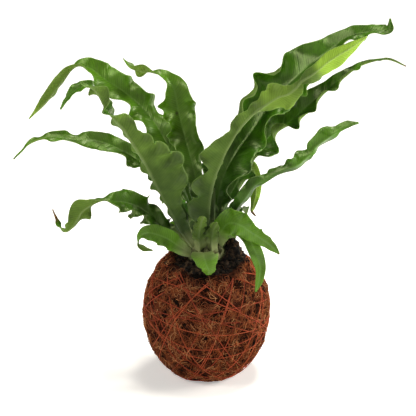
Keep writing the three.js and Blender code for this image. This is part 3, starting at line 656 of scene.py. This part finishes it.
# %% One frond
def frond(name, shape, seed):
    """One frond as a closed blade: waxy upper face, dull lower face with its raised midrib."""
    sheet, run, across, half = blade_sheet(shape, seed)
    rows, columns = sheet.shape[:2]
    normal = unit(np.cross(np.gradient(sheet, axis=1), np.gradient(sheet, axis=0)))
    share = run / run[-1, 0]
    thick = STALK + (BLADE - STALK) * np.clip(share / STALK_SHARE, 0, 1)
    thick = thick * np.sqrt(1 - 0.75 * np.abs(across) ** 6)
    rib = np.exp(-(across * half / RIB_WIDTH) ** 2) * RIB_RISE * (1 - 0.8 * share)
    upper = sheet + normal * (thick / 2)[..., None]
    lower = sheet - normal * (thick / 2 + rib)[..., None]
    top = grid_faces(rows, columns)
    under = grid_faces(rows, columns, start=rows * columns)[:, ::-1]
    ring = np.concatenate([
        np.arange(rows) * columns,
        (rows - 1) * columns + np.arange(1, columns),
        np.arange(rows - 2, -1, -1) * columns + columns - 1,
        np.arange(columns - 2, 0, -1)])
    following = np.roll(ring, -1)
    rim = np.stack([ring, following, following + rows * columns, ring + rows * columns], axis=-1)
    faces = np.vstack([top, under, rim])
    slots = np.concatenate([np.zeros(len(top)), np.ones(len(under) + len(rim))])
    blade = np.stack([run, across, half], axis=-1)
    tone = leaf_tones(name, share, sheet)
    return mesh_piece(
        "fern_" + name, np.concatenate([upper.reshape(-1, 3), lower.reshape(-1, 3)]), faces,
        [LEAF_YOUNG if shape.get("young") else LEAF_UPPER, LEAF_UNDER], slots,
        {"blade": np.tile(blade.reshape(-1, 3), (2, 1)), "tone": np.tile(tone.reshape(-1, 3), (2, 1))})


# %% [markdown]
# Leaves differ in age. The mature ones are deep green, the short young ones are yellow-green, and
# one long frond runs out into a lime tip: young green, brightened by painted light shining through it.
# A few tips have dried brown and one leaf has a brown spot.

# %% How young, dry and spotted each frond is
SEED_STEP = 1.7  # shifts the waves of each frond against the last one's
MATURE = (0.05, 0.12)  # share of young green at the foot and at the tip
YOUTH = {
    "short_left": (0.45, 0.35), "low_right": (0.44, 0.42), "hanging_right": (0.42, 0.40),
    "front_short": (0.50, 0.50), "front_stub": (0.55, 0.5), "front_bud": (0.6, 0.6),
    "drooping_back_right": (0.55, 0.75), "low_back_left": (0.4, 0.4), "low_back_right": (0.4, 0.4),
    "front_left": (0.30, 0.12), "upright": (0.22, 0.38), "arch_left": (0.20, 0.32),
    "broad_right": (0.05, 0.10), "slim_right": (0.0, 0.15), "low_far_left": (0.15, 0.28),
}
# Shares of the length: where a lime tip, with painted light shining through it, starts and is full,
# where a paler stretch lies and how pale it is, and where a tip starts to dry. A spot has a place
# and a radius.
LIME_TIP_WITH_PAINTED_BACKLIGHT = {"broad_right": (0.80, 0.84), "arch_left": (0.93, 0.99)}
PALE_STRETCH = {"broad_right": (0.57, 0.76, 0.35)}
DRY_TIP = {"front_left": 0.925, "drooping_back_right": 0.95, "low_right": 0.985, "far_right": 0.99}
SPOTS = {"upright": [((-29, 30, 259), 1.6)]}


def leaf_tones(name, share, sheet):
    """Youth, dryness and spots at every point of a blade."""
    foot, tip = YOUTH.get(name, MATURE)
    young = foot + (tip - foot) * share
    if name in PALE_STRETCH:
        start, end, pale = PALE_STRETCH[name]
        young = young + pale * ease((share - start) * 12) * ease((end - share) * 12)
    # A lime tip: young green, partly painted light shining through the leaf.
    if name in LIME_TIP_WITH_PAINTED_BACKLIGHT:
        start, full = LIME_TIP_WITH_PAINTED_BACKLIGHT[name]
        young = young + (1 - young) * ease((share - start) / (full - start))
    dry = np.zeros_like(young)
    if name in DRY_TIP:
        dry = ease((share - DRY_TIP[name]) / (1 - DRY_TIP[name]) * 3)
    spot = np.zeros_like(young)
    for middle, radius in SPOTS.get(name, []):
        spot = np.maximum(spot, ease(1.6 - np.linalg.norm(sheet - np.array(middle), axis=-1) / radius))
    return np.stack([young, dry, spot], axis=-1)


for number, (name, shape) in enumerate(FRONDS.items()):
    piece = frond(name, shape, SEED_STEP * number)
    dress(piece, "frond_" + name)

# %% [markdown]
# ## The wrapped ball
# The ball is an egg with its long end down and a pressed-flat spot below. The mat that wraps it is
# matted coconut fibre. We make a rough base in the ball's form, dark brown deepened by painted shade,
# then lay thousands of single fibres over it, because the gaps and loose ends between fibres are
# what makes coir look like coir.

# %% The form of the ball
SEAT_RADIUS = 30  # the flat spot below
BALL_RADIUS = 61.8
BALL_MIDDLE = 72  # height of the widest place
BALL_UPPER = 64  # from there to where the egg would close at the top
FULLNESS = 2.4  # how full the lower half is; 2 would be an ellipse
BALL_LOWER = BALL_MIDDLE / (1 - (SEAT_RADIUS / BALL_RADIUS) ** 2) ** (1 / FULLNESS)
WRAP_THICKNESS = 5
RIM_HEIGHT = 125
RIM_DIP = 10  # the edge of the wrap is lowest in front
LOWEST_FIBRE = 0.35  # no fibre's middle comes nearer to the floor than this
print("the lower half would close", round(BALL_LOWER, 1), "mm below the middle")


def ball_radius(z, bearing):
    """Outer radius of the wrap at a height and a bearing."""
    reach = np.where(z < BALL_MIDDLE, BALL_LOWER, BALL_UPPER)
    level = np.clip(np.abs(z - BALL_MIDDLE) / reach, 0, 1)
    swell = 0.9 * np.sin(2 * bearing + z / 30) + 0.7 * np.sin(5 * bearing - z / 24)
    round_share = np.sqrt(1 - level ** np.where(z < BALL_MIDDLE, FULLNESS, 2))
    return BALL_RADIUS * round_share + np.clip(z / 20, 0, 1) * swell


def rim_height(bearing):
    """Height of the torn edge of the wrap at a bearing."""
    tear = 1.3 * np.sin(5 * bearing + 1) + 0.9 * np.sin(8 * bearing)
    return RIM_HEIGHT - RIM_DIP * np.clip(-np.sin(bearing), 0, 1) ** 1.5 + tear


def on_ball(direction, height):
    """Points that lie a height above the wrap in the given directions from the ball's middle."""
    direction = unit(direction)
    reach = np.where(direction[..., 2] < 0, BALL_LOWER, BALL_UPPER)
    z = np.clip(BALL_MIDDLE + direction[..., 2] * reach, 0.0, None)
    bearing = np.arctan2(direction[..., 1], direction[..., 0])
    flat = np.hypot(direction[..., 0], direction[..., 1])
    r = np.where(z <= 0, np.minimum(BALL_LOWER * flat, SEAT_RADIUS), ball_radius(z, bearing))
    lifted = round_points(r, bearing, z) + direction * np.asarray(height)[..., None]
    lifted[..., 2] = np.maximum(lifted[..., 2], LOWEST_FIBRE)
    return lifted


def rough(points, size, seed):
    """Cheap smooth roughness from about -1 to 1: crossed waves of about one length."""
    turn = np.random.default_rng(seed)
    total = np.zeros(points.shape[:-1])
    for _ in range(8):
        heading = unit(turn.normal(size=3)) * (2 * math.pi / size) * turn.uniform(0.7, 1.5)
        total += np.sin(points @ heading + turn.uniform(0, 2 * math.pi))
    return total / 2.8


# %% [markdown]
# ### Coir and thread
# Coir is the husk of the coconut: woody, dry hairs, so it is matte and each hair has its own brown.
# Between them the mat is painted nearly black in patches: painted shade in the pockets. The thread is
# a hard-spun yarn dyed rust red: two strands twisted, with a faint gleam, and painted shade darkens
# the groove between them. Its twist repeats every 2.2 mm. A fibre's tone comes from its own random
# number, and it is painted darker, as painted shade, where it lies buried among the others, and
# darkened by peat stain near the rim.

# %% Coir and thread materials
TWIST_LENGTH = 2.2
GRAIN_DEPTH = 0.9


def dry_strand(name, dark, light):
    """Dry, woody plant matter; the shade of each strand or scrap lies between a dark and a light."""
    material, tree, shader = new_surface(name, Roughness=0.85, IOR=1.45, Specular_IOR_Level=0.12)
    shade = add(tree, "Attribute", {}, "Vector", attribute_name="shade")
    own = add(tree, "SeparateXYZ", {0: shade}, "X")
    brown = add(tree, "Mix", {0: own, 6: dark, 7: light}, **COLOURS)
    # The third value darkens a strand: painted shade where a coir fibre lies low among the others, and peat
    # stain near the rim.
    painted_shade_and_stain = add(tree, "SeparateXYZ", {0: shade}, "Z")
    brown = add(tree, "Mix", {0: painted_shade_and_stain, 6: brown, 7: "#1A0C06"}, **COLOURS)
    tree.links.new(brown, shader.inputs["Base Color"])
    return material


def packed_matter(name, grain, detail, cover, dark, light, painted_shade_patches=None, **constants):
    """Packed dust and fibre: light grains over dark, with near-black painted shade if wanted; grain is in mm.
    """
    material, tree, shader = new_surface(name, Roughness=0.95, **constants)
    place = add(tree, "TexCoord", {}, "Object")
    grains = add(tree, "TexNoise", {"Vector": place, "Scale": 1 / (grain * MM), "Detail": detail})
    share = add(tree, "MapRange", {"Value": grains, "From Min": cover[0], "From Max": cover[1]})
    brown = add(tree, "Mix", {0: share, 6: dark, 7: light}, **COLOURS)
    if painted_shade_patches:
        # Near-black patches: painted shade in the pockets between the fibres.
        painted_shade_patch = add(tree, "TexNoise", {"Vector": place, "Scale": 1 / (painted_shade_patches * MM), "Detail": 2.0})
        painted_shade_patch = add(tree, "MapRange", {"Value": painted_shade_patch, "From Min": 0.52, "From Max": 0.40})
        brown = add(tree, "Mix", {0: painted_shade_patch, 6: brown, 7: "#0D0704"}, **COLOURS)
    tree.links.new(brown, shader.inputs["Base Color"])
    relief = add(tree, "Bump", {"Height": grains, "Distance": GRAIN_DEPTH * MM, "Strength": 1.0})
    tree.links.new(relief, shader.inputs["Normal"])
    return material


def wound_thread():
    """The thread: painted shade darkens the groove of the twist in a line that winds round it."""
    material, tree, shader = new_surface("rust_thread_twisted", Roughness=0.65, IOR=1.5,
                                         Specular_IOR_Level=0.15)
    shade = add(tree, "Attribute", {}, "Vector", attribute_name="shade")
    own, wind = (add(tree, "SeparateXYZ", {0: shade}, axis) for axis in "XY")
    wave = add(tree, "Math", {0: wind}, operation="SINE")
    # The groove between the strands is painted dark: painted shade.
    painted_groove_shade = add(tree, "MapRange", {"Value": wave, "From Min": -0.2, "From Max": 1.0, "To Max": 0.5})
    rust = add(tree, "Mix", {0: own, 6: "#96381C", 7: "#C65C36"}, **COLOURS)
    rust = add(tree, "Mix", {0: painted_groove_shade, 6: rust, 7: "#5A1F0C"}, **COLOURS)
    tree.links.new(rust, shader.inputs["Base Color"])
    relief = add(tree, "Bump", {"Height": wave, "Distance": 0.15 * MM, "Strength": 1.0}, invert=True)
    tree.links.new(relief, shader.inputs["Normal"])
    return material


COIR_MAT = packed_matter("coir_mat_packed", 1.5, 5.0, (0.4, 0.62), "#150A05", "#4E2412", painted_shade_patches=9,
                         IOR=1.4, Specular_IOR_Level=0.05)
COIR_BROWN = dry_strand("coir_fibre_brown", "#28120A", "#86482A")
COIR_RED = dry_strand("coir_fibre_red_brown", "#54250F", "#A85A30")
COIR_TAN = dry_strand("coir_fibre_tan", "#8C4C2A", "#D09462")
THREAD_RUST = wound_thread()


# %% [markdown]
# The mat is one skin, turned from its seat up the outside, over the torn rim and down the inside.
# Crossed waves make it lumpy.

# %% The mat
MAT_DEPTH = 1.4  # the mat lies this far inside the ball, under its fibres
SEAT_LIFT = 0.3


def mat_piece():
    """Seat, outer face, torn rim and inner face of the wrap as one rough skin."""
    columns = 240
    bearing = round_bearings(columns)
    seat = np.linspace(0.02, 0.97, 14)[:, None] * (SEAT_RADIUS - MAT_DEPTH) + 0 * bearing
    outer = np.linspace(0.004, 1, 120)[:, None] ** 0.8 * (rim_height(bearing) - 1)
    inner = np.linspace(1, 0.7, 20)[:, None] * (rim_height(bearing) - 1.5)
    r = np.vstack([seat, ball_radius(outer, bearing) - MAT_DEPTH,
                   ball_radius(inner, bearing) - WRAP_THICKNESS])
    z = np.vstack([SEAT_LIFT + 0 * seat, outer, inner])
    points = round_points(r, bearing, z)
    bump = 0.9 * rough(points, 9, 1) + 0.45 * rough(points, 3, 2)
    outward = unit(points * np.array([1, 1, 0]))
    points += outward * (bump * np.clip(points[..., 2] / 8, 0, 1))[..., None]
    faces = grid_faces(len(points), columns, round_columns=True)
    return mesh_piece("coir_mat", points, faces, [COIR_MAT])


dress(mat_piece(), "coir_wrap")


# %% [markdown]
# A fibre is a thin three-sided tube that wanders over the ball. Its heading turns as it goes, so the
# fibres curl. It starts just inside the mat, rises a little and dives in again, and a few ends stand
# out. They pile up in lumps and leave pockets where the mat shows, painted dark as shade. All the
# fibres of a tone are made in one go, as one mesh, because thousands of objects would be slow.

# %% Tubes along many paths at once
def tubes(paths, radius, outward, sides, shade, painted_shade_and_stain=0.0, closed=False):
    """Points, faces and shades of a tube along each path; paths is (tubes, steps, 3)."""
    count, steps = paths.shape[:2]
    if closed:
        ahead = unit(np.roll(paths, -1, axis=1) - np.roll(paths, 1, axis=1))
    else:
        ahead = unit(np.gradient(paths, axis=1))
    side = unit(np.cross(ahead, outward))
    up = np.cross(side, ahead)
    angle = np.linspace(0, 2 * math.pi, sides, endpoint=False)
    spoke = side[:, :, None] * np.cos(angle)[:, None] + up[:, :, None] * np.sin(angle)[:, None]
    points = paths[:, :, None] + spoke * radius[..., None, None]
    rows = steps + 1 if closed else steps
    one = grid_faces(rows, sides, round_columns=True) % (steps * sides)
    faces = repeated_faces(one, count, steps * sides)
    stretch = np.linalg.norm(np.diff(paths, axis=1), axis=-1)
    run = np.concatenate([np.zeros((count, 1)), np.cumsum(stretch, axis=1)], axis=1)
    tint = np.zeros(points.shape)
    tint[..., 0] = shade[:, None, None]
    tint[..., 1] = run[:, :, None] * (2 * math.pi / TWIST_LENGTH) + angle
    # Third value: painted shade and peat stain, as a share of near-black.
    tint[..., 2] = np.asarray(painted_shade_and_stain)[..., None]
    return points.reshape(-1, 3), faces[:, ::-1], tint.reshape(-1, 3)


# %% Fibres
def wander_on_ball(draw, middle, length, curl, steps):
    """Directions of paths that start at a middle and curl over the ball."""
    count = len(middle)
    east = unit(np.cross(middle, draw.normal(size=(count, 3))))
    north = np.cross(middle, east)
    share = np.linspace(-0.5, 0.5, steps)[None, :]
    heading = curl[:, None] * share * 2 + draw.normal(0, 0.35, (count, steps))
    step = length[:, None] / (steps - 1) / BALL_RADIUS
    x = np.cumsum(np.cos(heading) * step, axis=1)
    y = np.cumsum(np.sin(heading) * step, axis=1)
    x -= x.mean(axis=1, keepdims=True)
    y -= y.mean(axis=1, keepdims=True)
    return unit(middle[:, None] + east[:, None] * x[..., None] + north[:, None] * y[..., None])


FIBRE_STEPS = 7
FIBRE_ROOT = -2.4  # height of a fibre's ends over the ball: under the mat's skin
LOOSE_SHARE = 0.16
LOOSE_LIFT = np.array([0.5, 1.5, 2.8])  # how far the last points of a loose fibre stand out
POCKET_SIZE = 13  # millimetres from one pocket or lump to the next
LUMP_SIZE = 17
LUMP_RISE = 0.9
STAIN_DEPTH = 6  # peat darkens the wrap this far below its rim


def coir_layer(name, count, material, seed, length, radius, rise, curl):
    """Scatter fibres over the mat: rising in the middle, ends tucked in, some ends loose."""
    draw = np.random.default_rng(seed)
    middle = unit(draw.normal(size=(count * 3, 3)))
    bearing = np.arctan2(middle[:, 1], middle[:, 0])
    z = BALL_MIDDLE + middle[:, 2] * np.where(middle[:, 2] < 0, BALL_LOWER, BALL_UPPER)
    pocket = rough(middle * BALL_RADIUS, POCKET_SIZE, 77)
    kept = (z < rim_height(bearing) - 1) & (draw.random(len(middle)) < ease(pocket / 0.5 + 1.1) + 0.05)
    middle = middle[kept][:count]
    count, steps = len(middle), FIBRE_STEPS
    out = wander_on_ball(draw, middle, draw.uniform(*length, count), draw.normal(0, curl, count), steps)
    hump = np.sin(np.linspace(0.12, math.pi - 0.12, steps))[None, :]
    height = FIBRE_ROOT + hump * draw.uniform(*rise, count)[:, None] + draw.normal(0, 0.2, (count, steps))
    lump = rough(out * BALL_RADIUS, LUMP_SIZE, 78)
    height = height + LUMP_RISE * lump
    loose = draw.random(count) < LOOSE_SHARE
    height[loose, -3:] += LOOSE_LIFT * draw.uniform(0.3, 1.1, (loose.sum(), 1))
    paths = on_ball(out, height)
    top = rim_height(np.arctan2(paths[..., 1], paths[..., 0])) + draw.uniform(-2.5, 1.8, (count, 1))
    stained = ease((paths[..., 2] - top + STAIN_DEPTH) / STAIN_DEPTH) * 0.6
    paths[..., 2] = np.minimum(paths[..., 2], top)
    # The darker of painted shade where a fibre lies low among the others and the peat stain near the rim.
    painted_shade_and_stain = np.maximum(ease((-0.55 - height + LUMP_RISE * lump) / 1.3) * 0.9, stained)
    thick = draw.uniform(*radius, count)[:, None] * np.linspace(1, 0.5, steps)[None, :]
    points, faces, tint = tubes(paths, thick, out, 3, draw.random(count), painted_shade_and_stain)
    dress(mesh_piece(name, points, faces, [material], values={"shade": tint}), "coir_wrap")


# Count, material, seed, length, radius, rise and curl of each tone.
coir_layer("coir_fibres_brown", 4900, COIR_BROWN, 11, (8, 24), (0.26, 0.50), (1.2, 2.7), 1.9)
coir_layer("coir_fibres_red", 4700, COIR_RED, 12, (8, 24), (0.22, 0.42), (1.6, 3.1), 2.0)
coir_layer("coir_fibres_tan", 2100, COIR_TAN, 13, (7, 18), (0.18, 0.36), (2.2, 3.5), 1.7)

# %% [markdown]
# ## The winding
# The ball is held by one long thread wound in every direction. Each turn is a circle round the ball:
# tilt and bearing of its axis, and how wide it opens, all in degrees. Steep turns meet the open top,
# where they are tucked in under the edge of the mat.

# %% The winding
THREAD_RADIUS = 0.41
THREAD_STEPS = 120
TUCK_DEPTH = -3.6  # height over the ball where the thread is under the rim
THREAD_TURNS = [
    (47, 151, 85), (67, 194, 88), (64, 213, 85), (59, 358, 89), (56, 176, 91), (45, 40, 89),
    (19, 22, 92), (16, 126, 93), (8, 50, 93), (7, 316, 92), (20, 273, 89), (53, 1, 89), (30, 42, 88),
    (63, 236, 87), (63, 327, 86), (55, 148, 91), (47, 90, 93), (40, 111, 86), (29, 283, 88),
    (50, 304, 84), (68, 195, 88), (55, 303, 89), (74, 237, 91)]


def winding_piece():
    """All turns of thread as one mesh, each lying on the fibres and diving in at the rim."""
    turns = np.radians(np.array(THREAD_TURNS))
    tilt, bearing, half = turns.T
    axis = round_points(np.sin(tilt), bearing, np.cos(tilt))
    first = unit(np.cross([0, 0, 1], axis))
    second = np.cross(axis, first)
    angle = round_bearings(THREAD_STEPS)[..., None]
    spoke = first[:, None] * np.cos(angle) + second[:, None] * np.sin(angle)
    out = axis[:, None] * np.cos(half)[:, None, None] + spoke * np.sin(half)[:, None, None]
    heading = np.arctan2(out[..., 1], out[..., 0])
    slip = 2 + 4 * np.random.default_rng(4).random((len(turns), 1))
    highest = (rim_height(heading) - slip - BALL_MIDDLE) / BALL_UPPER
    over = out[..., 2] > highest
    flat = np.sqrt(1 - highest ** 2)
    out = unit(np.where(over[..., None], round_points(flat, heading, highest), out))
    order = np.linspace(-0.1, 0.9, len(turns))[:, None]
    wander = 0.25 * np.sin(7 * angle[..., 0] + bearing[:, None] * 3)
    paths = on_ball(out, np.where(over, TUCK_DEPTH, order + wander))
    radius = np.full(paths.shape[:2], THREAD_RADIUS)
    shade = np.random.default_rng(5).random(len(turns))
    points, faces, tint = tubes(paths, radius, out, 5, shade, closed=True)
    return mesh_piece("thread_winding", points, faces, [THREAD_RUST], values={"shade": tint})


dress(winding_piece(), "winding_thread")
# %% [markdown]
# ## Peat and rootstock
# The root ball is peat: rotted moss, damp and rough, so it is nearly black and has no shine. Crumbs,
# fine roots and the rootstock's papery scales are dry plant matter, so they use the fibre's material
# in their own tones.

# %% Peat materials
PEAT_EARTH = packed_matter("peat_crumbly", 1.6, 4.0, (0.42, 0.7), "#050403", "#1C130D",
                           IOR=1.35, Specular_IOR_Level=0.08)
PEAT_CRUMB = dry_strand("peat_crumb_dry", "#050403", "#4E3B29")
ROOT_HAIR = dry_strand("fern_root_hair", "#0E0906", "#46301F")
ROOT_SCALE = dry_strand("rootstock_scale_papery", "#3C4022", "#9DA274")

# %% [markdown]
# The peat shows in the opening of the wrap, and stands up in a clump of old roots on the right. It
# is one rough disc: a heap, a knob and waves, added up as a height.

# %% Peat
PEAT_LEVEL = 113
PEAT_HEAP = 11  # how far the middle stands above that
PEAT_SKIRT = 100  # its edge hangs down to here, inside the wrap
KNOB_MIDDLE = (27, -6)  # the clump of old roots
KNOB_HEIGHT = 21


def peat_height(x, y):
    """Height of the peat's surface."""
    heap = PEAT_HEAP * np.exp(-(x * x + y * y) / 900)
    knob = KNOB_HEIGHT * np.exp(-((x - KNOB_MIDDLE[0]) ** 2 + (y - KNOB_MIDDLE[1]) ** 2) / 80)
    lumps = 1.1 * np.sin(x / 2.6 + y / 5) + 1.1 * np.sin(y / 2.9 - x / 6)
    return PEAT_LEVEL + heap + knob + lumps


def peat_piece():
    """The peat that shows in the opening, as one rough disc with a hanging edge."""
    columns, rows = 200, 90
    bearing = round_bearings(columns)
    top = rim_height(bearing) - 2
    brim = ball_radius(top, bearing) - WRAP_THICKNESS - 0.9
    share = np.linspace(1, 0.0, rows)[:, None]
    points = round_points(brim * share, bearing, 0 * brim * share)
    x, y = points[..., 0], points[..., 1]
    points[..., 2] = np.maximum(peat_height(x, y), top - 5)
    points[..., 2] += 0.8 * rough(points, 5, 31) + 0.5 * rough(points, 2.2, 32)
    skirt = np.stack([x[0], y[0], np.full(columns, PEAT_SKIRT)], axis=-1)[None]
    points = np.vstack([skirt, points])
    return mesh_piece("peat_surface", points, grid_faces(rows + 1, columns, round_columns=True), [PEAT_EARTH])


dress(peat_piece(), "peat_ball")


# %% [markdown]
# Peat is crumbly, so its sheet is strewn with separate crumbs. A crumb is a twenty-sided lump, the
# plainest round form there is, pulled out of shape.

# %% Crumbs
GOLDEN = (1 + math.sqrt(5)) / 2
FOUR = [(-1, GOLDEN, 0), (1, GOLDEN, 0), (-1, -GOLDEN, 0), (1, -GOLDEN, 0)]
CRUMB_POINTS = unit(np.concatenate([np.roll(FOUR, turn, axis=1) for turn in range(3)]))
CRUMB_EDGE = 1.1  # neighbours are 1.05 apart, all others more


def crumb_faces():
    """Each three points that are all neighbours, in the order that faces outwards."""
    apart = np.linalg.norm(CRUMB_POINTS[:, None] - CRUMB_POINTS, axis=-1)
    faces = [corners for corners in combinations(range(12), 3)
             if all(apart[pair] < CRUMB_EDGE for pair in combinations(corners, 2))]
    return np.array([face if np.linalg.det(CRUMB_POINTS[list(face)]) > 0 else face[::-1] for face in faces])


CRUMB_FACES = crumb_faces()
CRUMBS = 1900
PEAT_REACH = 41  # how far out crumbs and roots lie
KNOB_SPREAD = 5.0


def peat_feet(draw, count, knob_share):
    """Places on the peat, some of them gathered on the clump of roots."""
    on_knob = draw.random(count) < knob_share
    turn = draw.uniform(0, 2 * math.pi, count)
    reach = PEAT_REACH * np.sqrt(draw.random(count))
    wide = np.stack([reach * np.cos(turn), reach * np.sin(turn)], axis=-1)
    near = np.array(KNOB_MIDDLE) + draw.normal(0, KNOB_SPREAD, (count, 2))
    return np.where(on_knob[:, None], near, wide)


def crumbs_piece():
    """Crumbs strewn on the peat: uneven twenty-sided lumps, each with its own brown."""
    draw = np.random.default_rng(45)
    count = CRUMBS
    foot = peat_feet(draw, count, 0.3)
    size = draw.uniform(0.7, 2.9, (count, 1, 1)) * draw.uniform(0.6, 1.2, (count, 1, 3))
    lumps = CRUMB_POINTS[None] * size * draw.uniform(0.75, 1.25, (count, 12, 1))
    z = peat_height(foot[:, 0], foot[:, 1]) + draw.uniform(0.0, 1.2, count)
    points = lumps + np.concatenate([foot, z[:, None]], axis=-1)[:, None]
    faces = repeated_faces(CRUMB_FACES, count, len(CRUMB_POINTS))
    tint = np.zeros(points.shape)
    tint[..., 0] = (draw.random(count) ** 3.0)[:, None]
    return mesh_piece("peat_crumbs", points, faces, [PEAT_CRUMB], values={"shade": tint})


dress(crumbs_piece(), "peat_ball")


# %% [markdown]
# Fine roots lace the peat. They are tubes like the fibres, and half of them start on the clump.

# %% Fine roots
def root_piece():
    """Fine roots that lace the peat and bristle from the clump on the right."""
    draw = np.random.default_rng(41)
    count, steps = 900, 7
    foot = peat_feet(draw, count, 0.5)
    heading = draw.uniform(0, 2 * math.pi, count)
    length = draw.uniform(4, 11, count)
    share = np.linspace(0, 1, steps)[None, :]
    curl = heading[:, None] + draw.normal(0, 1.4, count)[:, None] * share
    x = foot[:, :1] + np.cumsum(np.cos(curl), axis=1) * length[:, None] / steps
    y = foot[:, 1:] + np.cumsum(np.sin(curl), axis=1) * length[:, None] / steps
    z = peat_height(x, y) + 0.3 + draw.uniform(0.5, 2.2, count)[:, None] * np.sin(share * math.pi)
    paths = np.stack([x, y, z], axis=-1)
    paths = paths[np.hypot(x, y).max(axis=1) < PEAT_REACH + 2]
    outward = np.broadcast_to(np.array([0.0, 0.0, 1.0]), paths.shape)
    radius = draw.uniform(0.16, 0.36, len(paths))[:, None] * np.ones(steps)
    points, faces, tint = tubes(paths, radius, outward, 3, draw.random(len(paths)))
    return mesh_piece("peat_roots", points, faces, [ROOT_HAIR], values={"shade": tint})


dress(root_piece(), "peat_ball")

# %% [markdown]
# The rootstock is a squat brown dome where all stalks meet, covered in lance-shaped papery scales
# that point up and inwards.

# %% Rootstock
CROWN_MIDDLE = (1, 0)
CROWN_RADIUS = 20
CROWN_TOP = 138
CROWN_FOOT = 111
SCALES = 420


def crown_point(rise, bearing, lift):
    """A point of the dome at a share of its height and a bearing, raised by a lift."""
    r = CROWN_RADIUS * np.cos(math.pi / 2 * rise ** 2 * 0.95) + lift
    z = CROWN_FOOT + (CROWN_TOP - CROWN_FOOT) * np.sin(math.pi / 2 * rise) + lift * rise
    return round_points(r, bearing, z) + [*CROWN_MIDDLE, 0]


def crown_pieces():
    """The dome and the lance-shaped scales that cover it, pointing up and inwards."""
    columns, rows = 96, 40
    bearing = round_bearings(columns)
    rise = np.linspace(0, 1, rows)[:, None]
    dome = crown_point(rise + 0 * bearing, bearing + 0 * rise, 0)
    dome = dome + 0.5 * rough(dome, 4, 51)[..., None] * np.array([0.5, 0.5, 1])
    shade = np.zeros(dome.shape)
    shade[..., 0] = 0.2 + 0.15 * np.sin(9 * bearing + 20 * rise)
    base = mesh_piece("rootstock_dome", dome, grid_faces(rows, columns, round_columns=True),
                      [ROOT_SCALE], values={"shade": shade})
    draw = np.random.default_rng(52)
    count, steps, wide = SCALES, 6, 3
    start = draw.uniform(0.25, 0.95, count)
    around = draw.uniform(0, 2 * math.pi, count)
    share = np.linspace(0, 1, steps)
    rises = np.clip(start[:, None] + share * 0.22, 0, 1)
    lift = 0.3 + share[None, :] ** 2 * draw.uniform(0.8, 3.0, count)[:, None]
    width = 0.09 * np.sin(math.pi * (0.15 + 0.85 * share)) ** 0.8
    lean = draw.normal(0, 0.12, count)[:, None] * share
    across = np.array([-1, 0, 1])
    bearings = around[:, None, None] + lean[:, :, None] + width[None, :, None] * across
    points = crown_point(np.broadcast_to(rises[..., None], bearings.shape), bearings, lift[..., None])
    faces = repeated_faces(grid_faces(steps, wide), count, steps * wide)
    tint = np.zeros(points.shape)
    tint[..., 0] = draw.random(count)[:, None, None]
    scales = mesh_piece("rootstock_scales", points, faces, [ROOT_SCALE], values={"shade": tint})
    return base, scales


for piece in crown_pieces():
    dress(piece, "crown")

# %% [markdown]
# ## Floor and light
# A white studio floor that runs out to the horizon. It glows a little, as a table lit from below.

# %% Floor
FLOOR_HALF = 30000
FLOOR_GLOW = 0.36
corners = np.array([[-1, -1, 0], [1, -1, 0], [1, 1, 0], [-1, 1, 0]]) * FLOOR_HALF
floor_material, floor_tree, floor_shader = new_surface(
    "studio_floor_white_matte", Roughness=0.9, Specular_IOR_Level=0.0, Base_Color=linear("#FBFBFB"),
    Emission_Color=linear("#FFFFFF"), Emission_Strength=FLOOR_GLOW)
floor = mesh_piece("studio_floor", corners, [[0, 1, 2, 3]], [floor_material])

# %% [markdown]
# One large soft light stands behind and above and shines through the leaves. Soft lamps at the sides
# model them, and one big lamp in front only lends the wax its wide sheen and lights nothing else. The
# camera sees a white world, so no horizon shows, but the world gives only a tenth of that as light.

# %% Lamps
WARM_WHITE = "#FFFAEF"
WORLD_LIGHT = 0.1
WORLD_WHITE = 0.95  # what the camera sees on top of that
world = bpy.data.worlds.new("studio")
world.use_nodes = True
world.node_tree.nodes["Background"].inputs["Color"].default_value = linear(WARM_WHITE)
seen = add(world.node_tree, "LightPath", {}, "Is Camera Ray")
strength = add(world.node_tree, "Math", {0: seen, 1: WORLD_WHITE, 2: WORLD_LIGHT}, operation="MULTIPLY_ADD")
world.node_tree.links.new(strength, world.node_tree.nodes["Background"].inputs["Strength"])
bpy.context.scene.world = world


def lamp(name, kind, place_mm, aim_mm, strength, **settings):
    """A soft lamp at a place, turned to a point."""
    data = bpy.data.lights.new(name, kind)
    data.energy = strength
    data.color = linear(WARM_WHITE)[:3]
    for key, value in settings.items():
        setattr(data, key, value)
    light = bpy.data.objects.new(name, data)
    light.location = np.array(place_mm) * MM
    away = np.array(place_mm, dtype=float) - np.array(aim_mm, dtype=float)
    light.rotation_euler = (math.atan2(math.hypot(away[0], away[1]), away[2]), 0,
                            math.atan2(away[1], away[0]) + math.pi / 2)
    bpy.context.collection.objects.link(light)
    return light


PLANT_MIDDLE = (0, 0, 180)
lamp("lamp_sky", "SUN", (300, 330, 2000), (0, 0, 0), 2.8, angle=math.radians(16))
lamp("lamp_right", "AREA", (1100, 150, 450), PLANT_MIDDLE, 16, size=600 * MM)
lamp("lamp_left", "AREA", (-1000, -500, 900), PLANT_MIDDLE, 7, size=500 * MM)
gloss = lamp("lamp_gloss", "AREA", (-150, -900, 1150), PLANT_MIDDLE, 34, size=1000 * MM)
gloss.visible_diffuse = False
bpy.context.scene.view_settings.view_transform = "Standard"
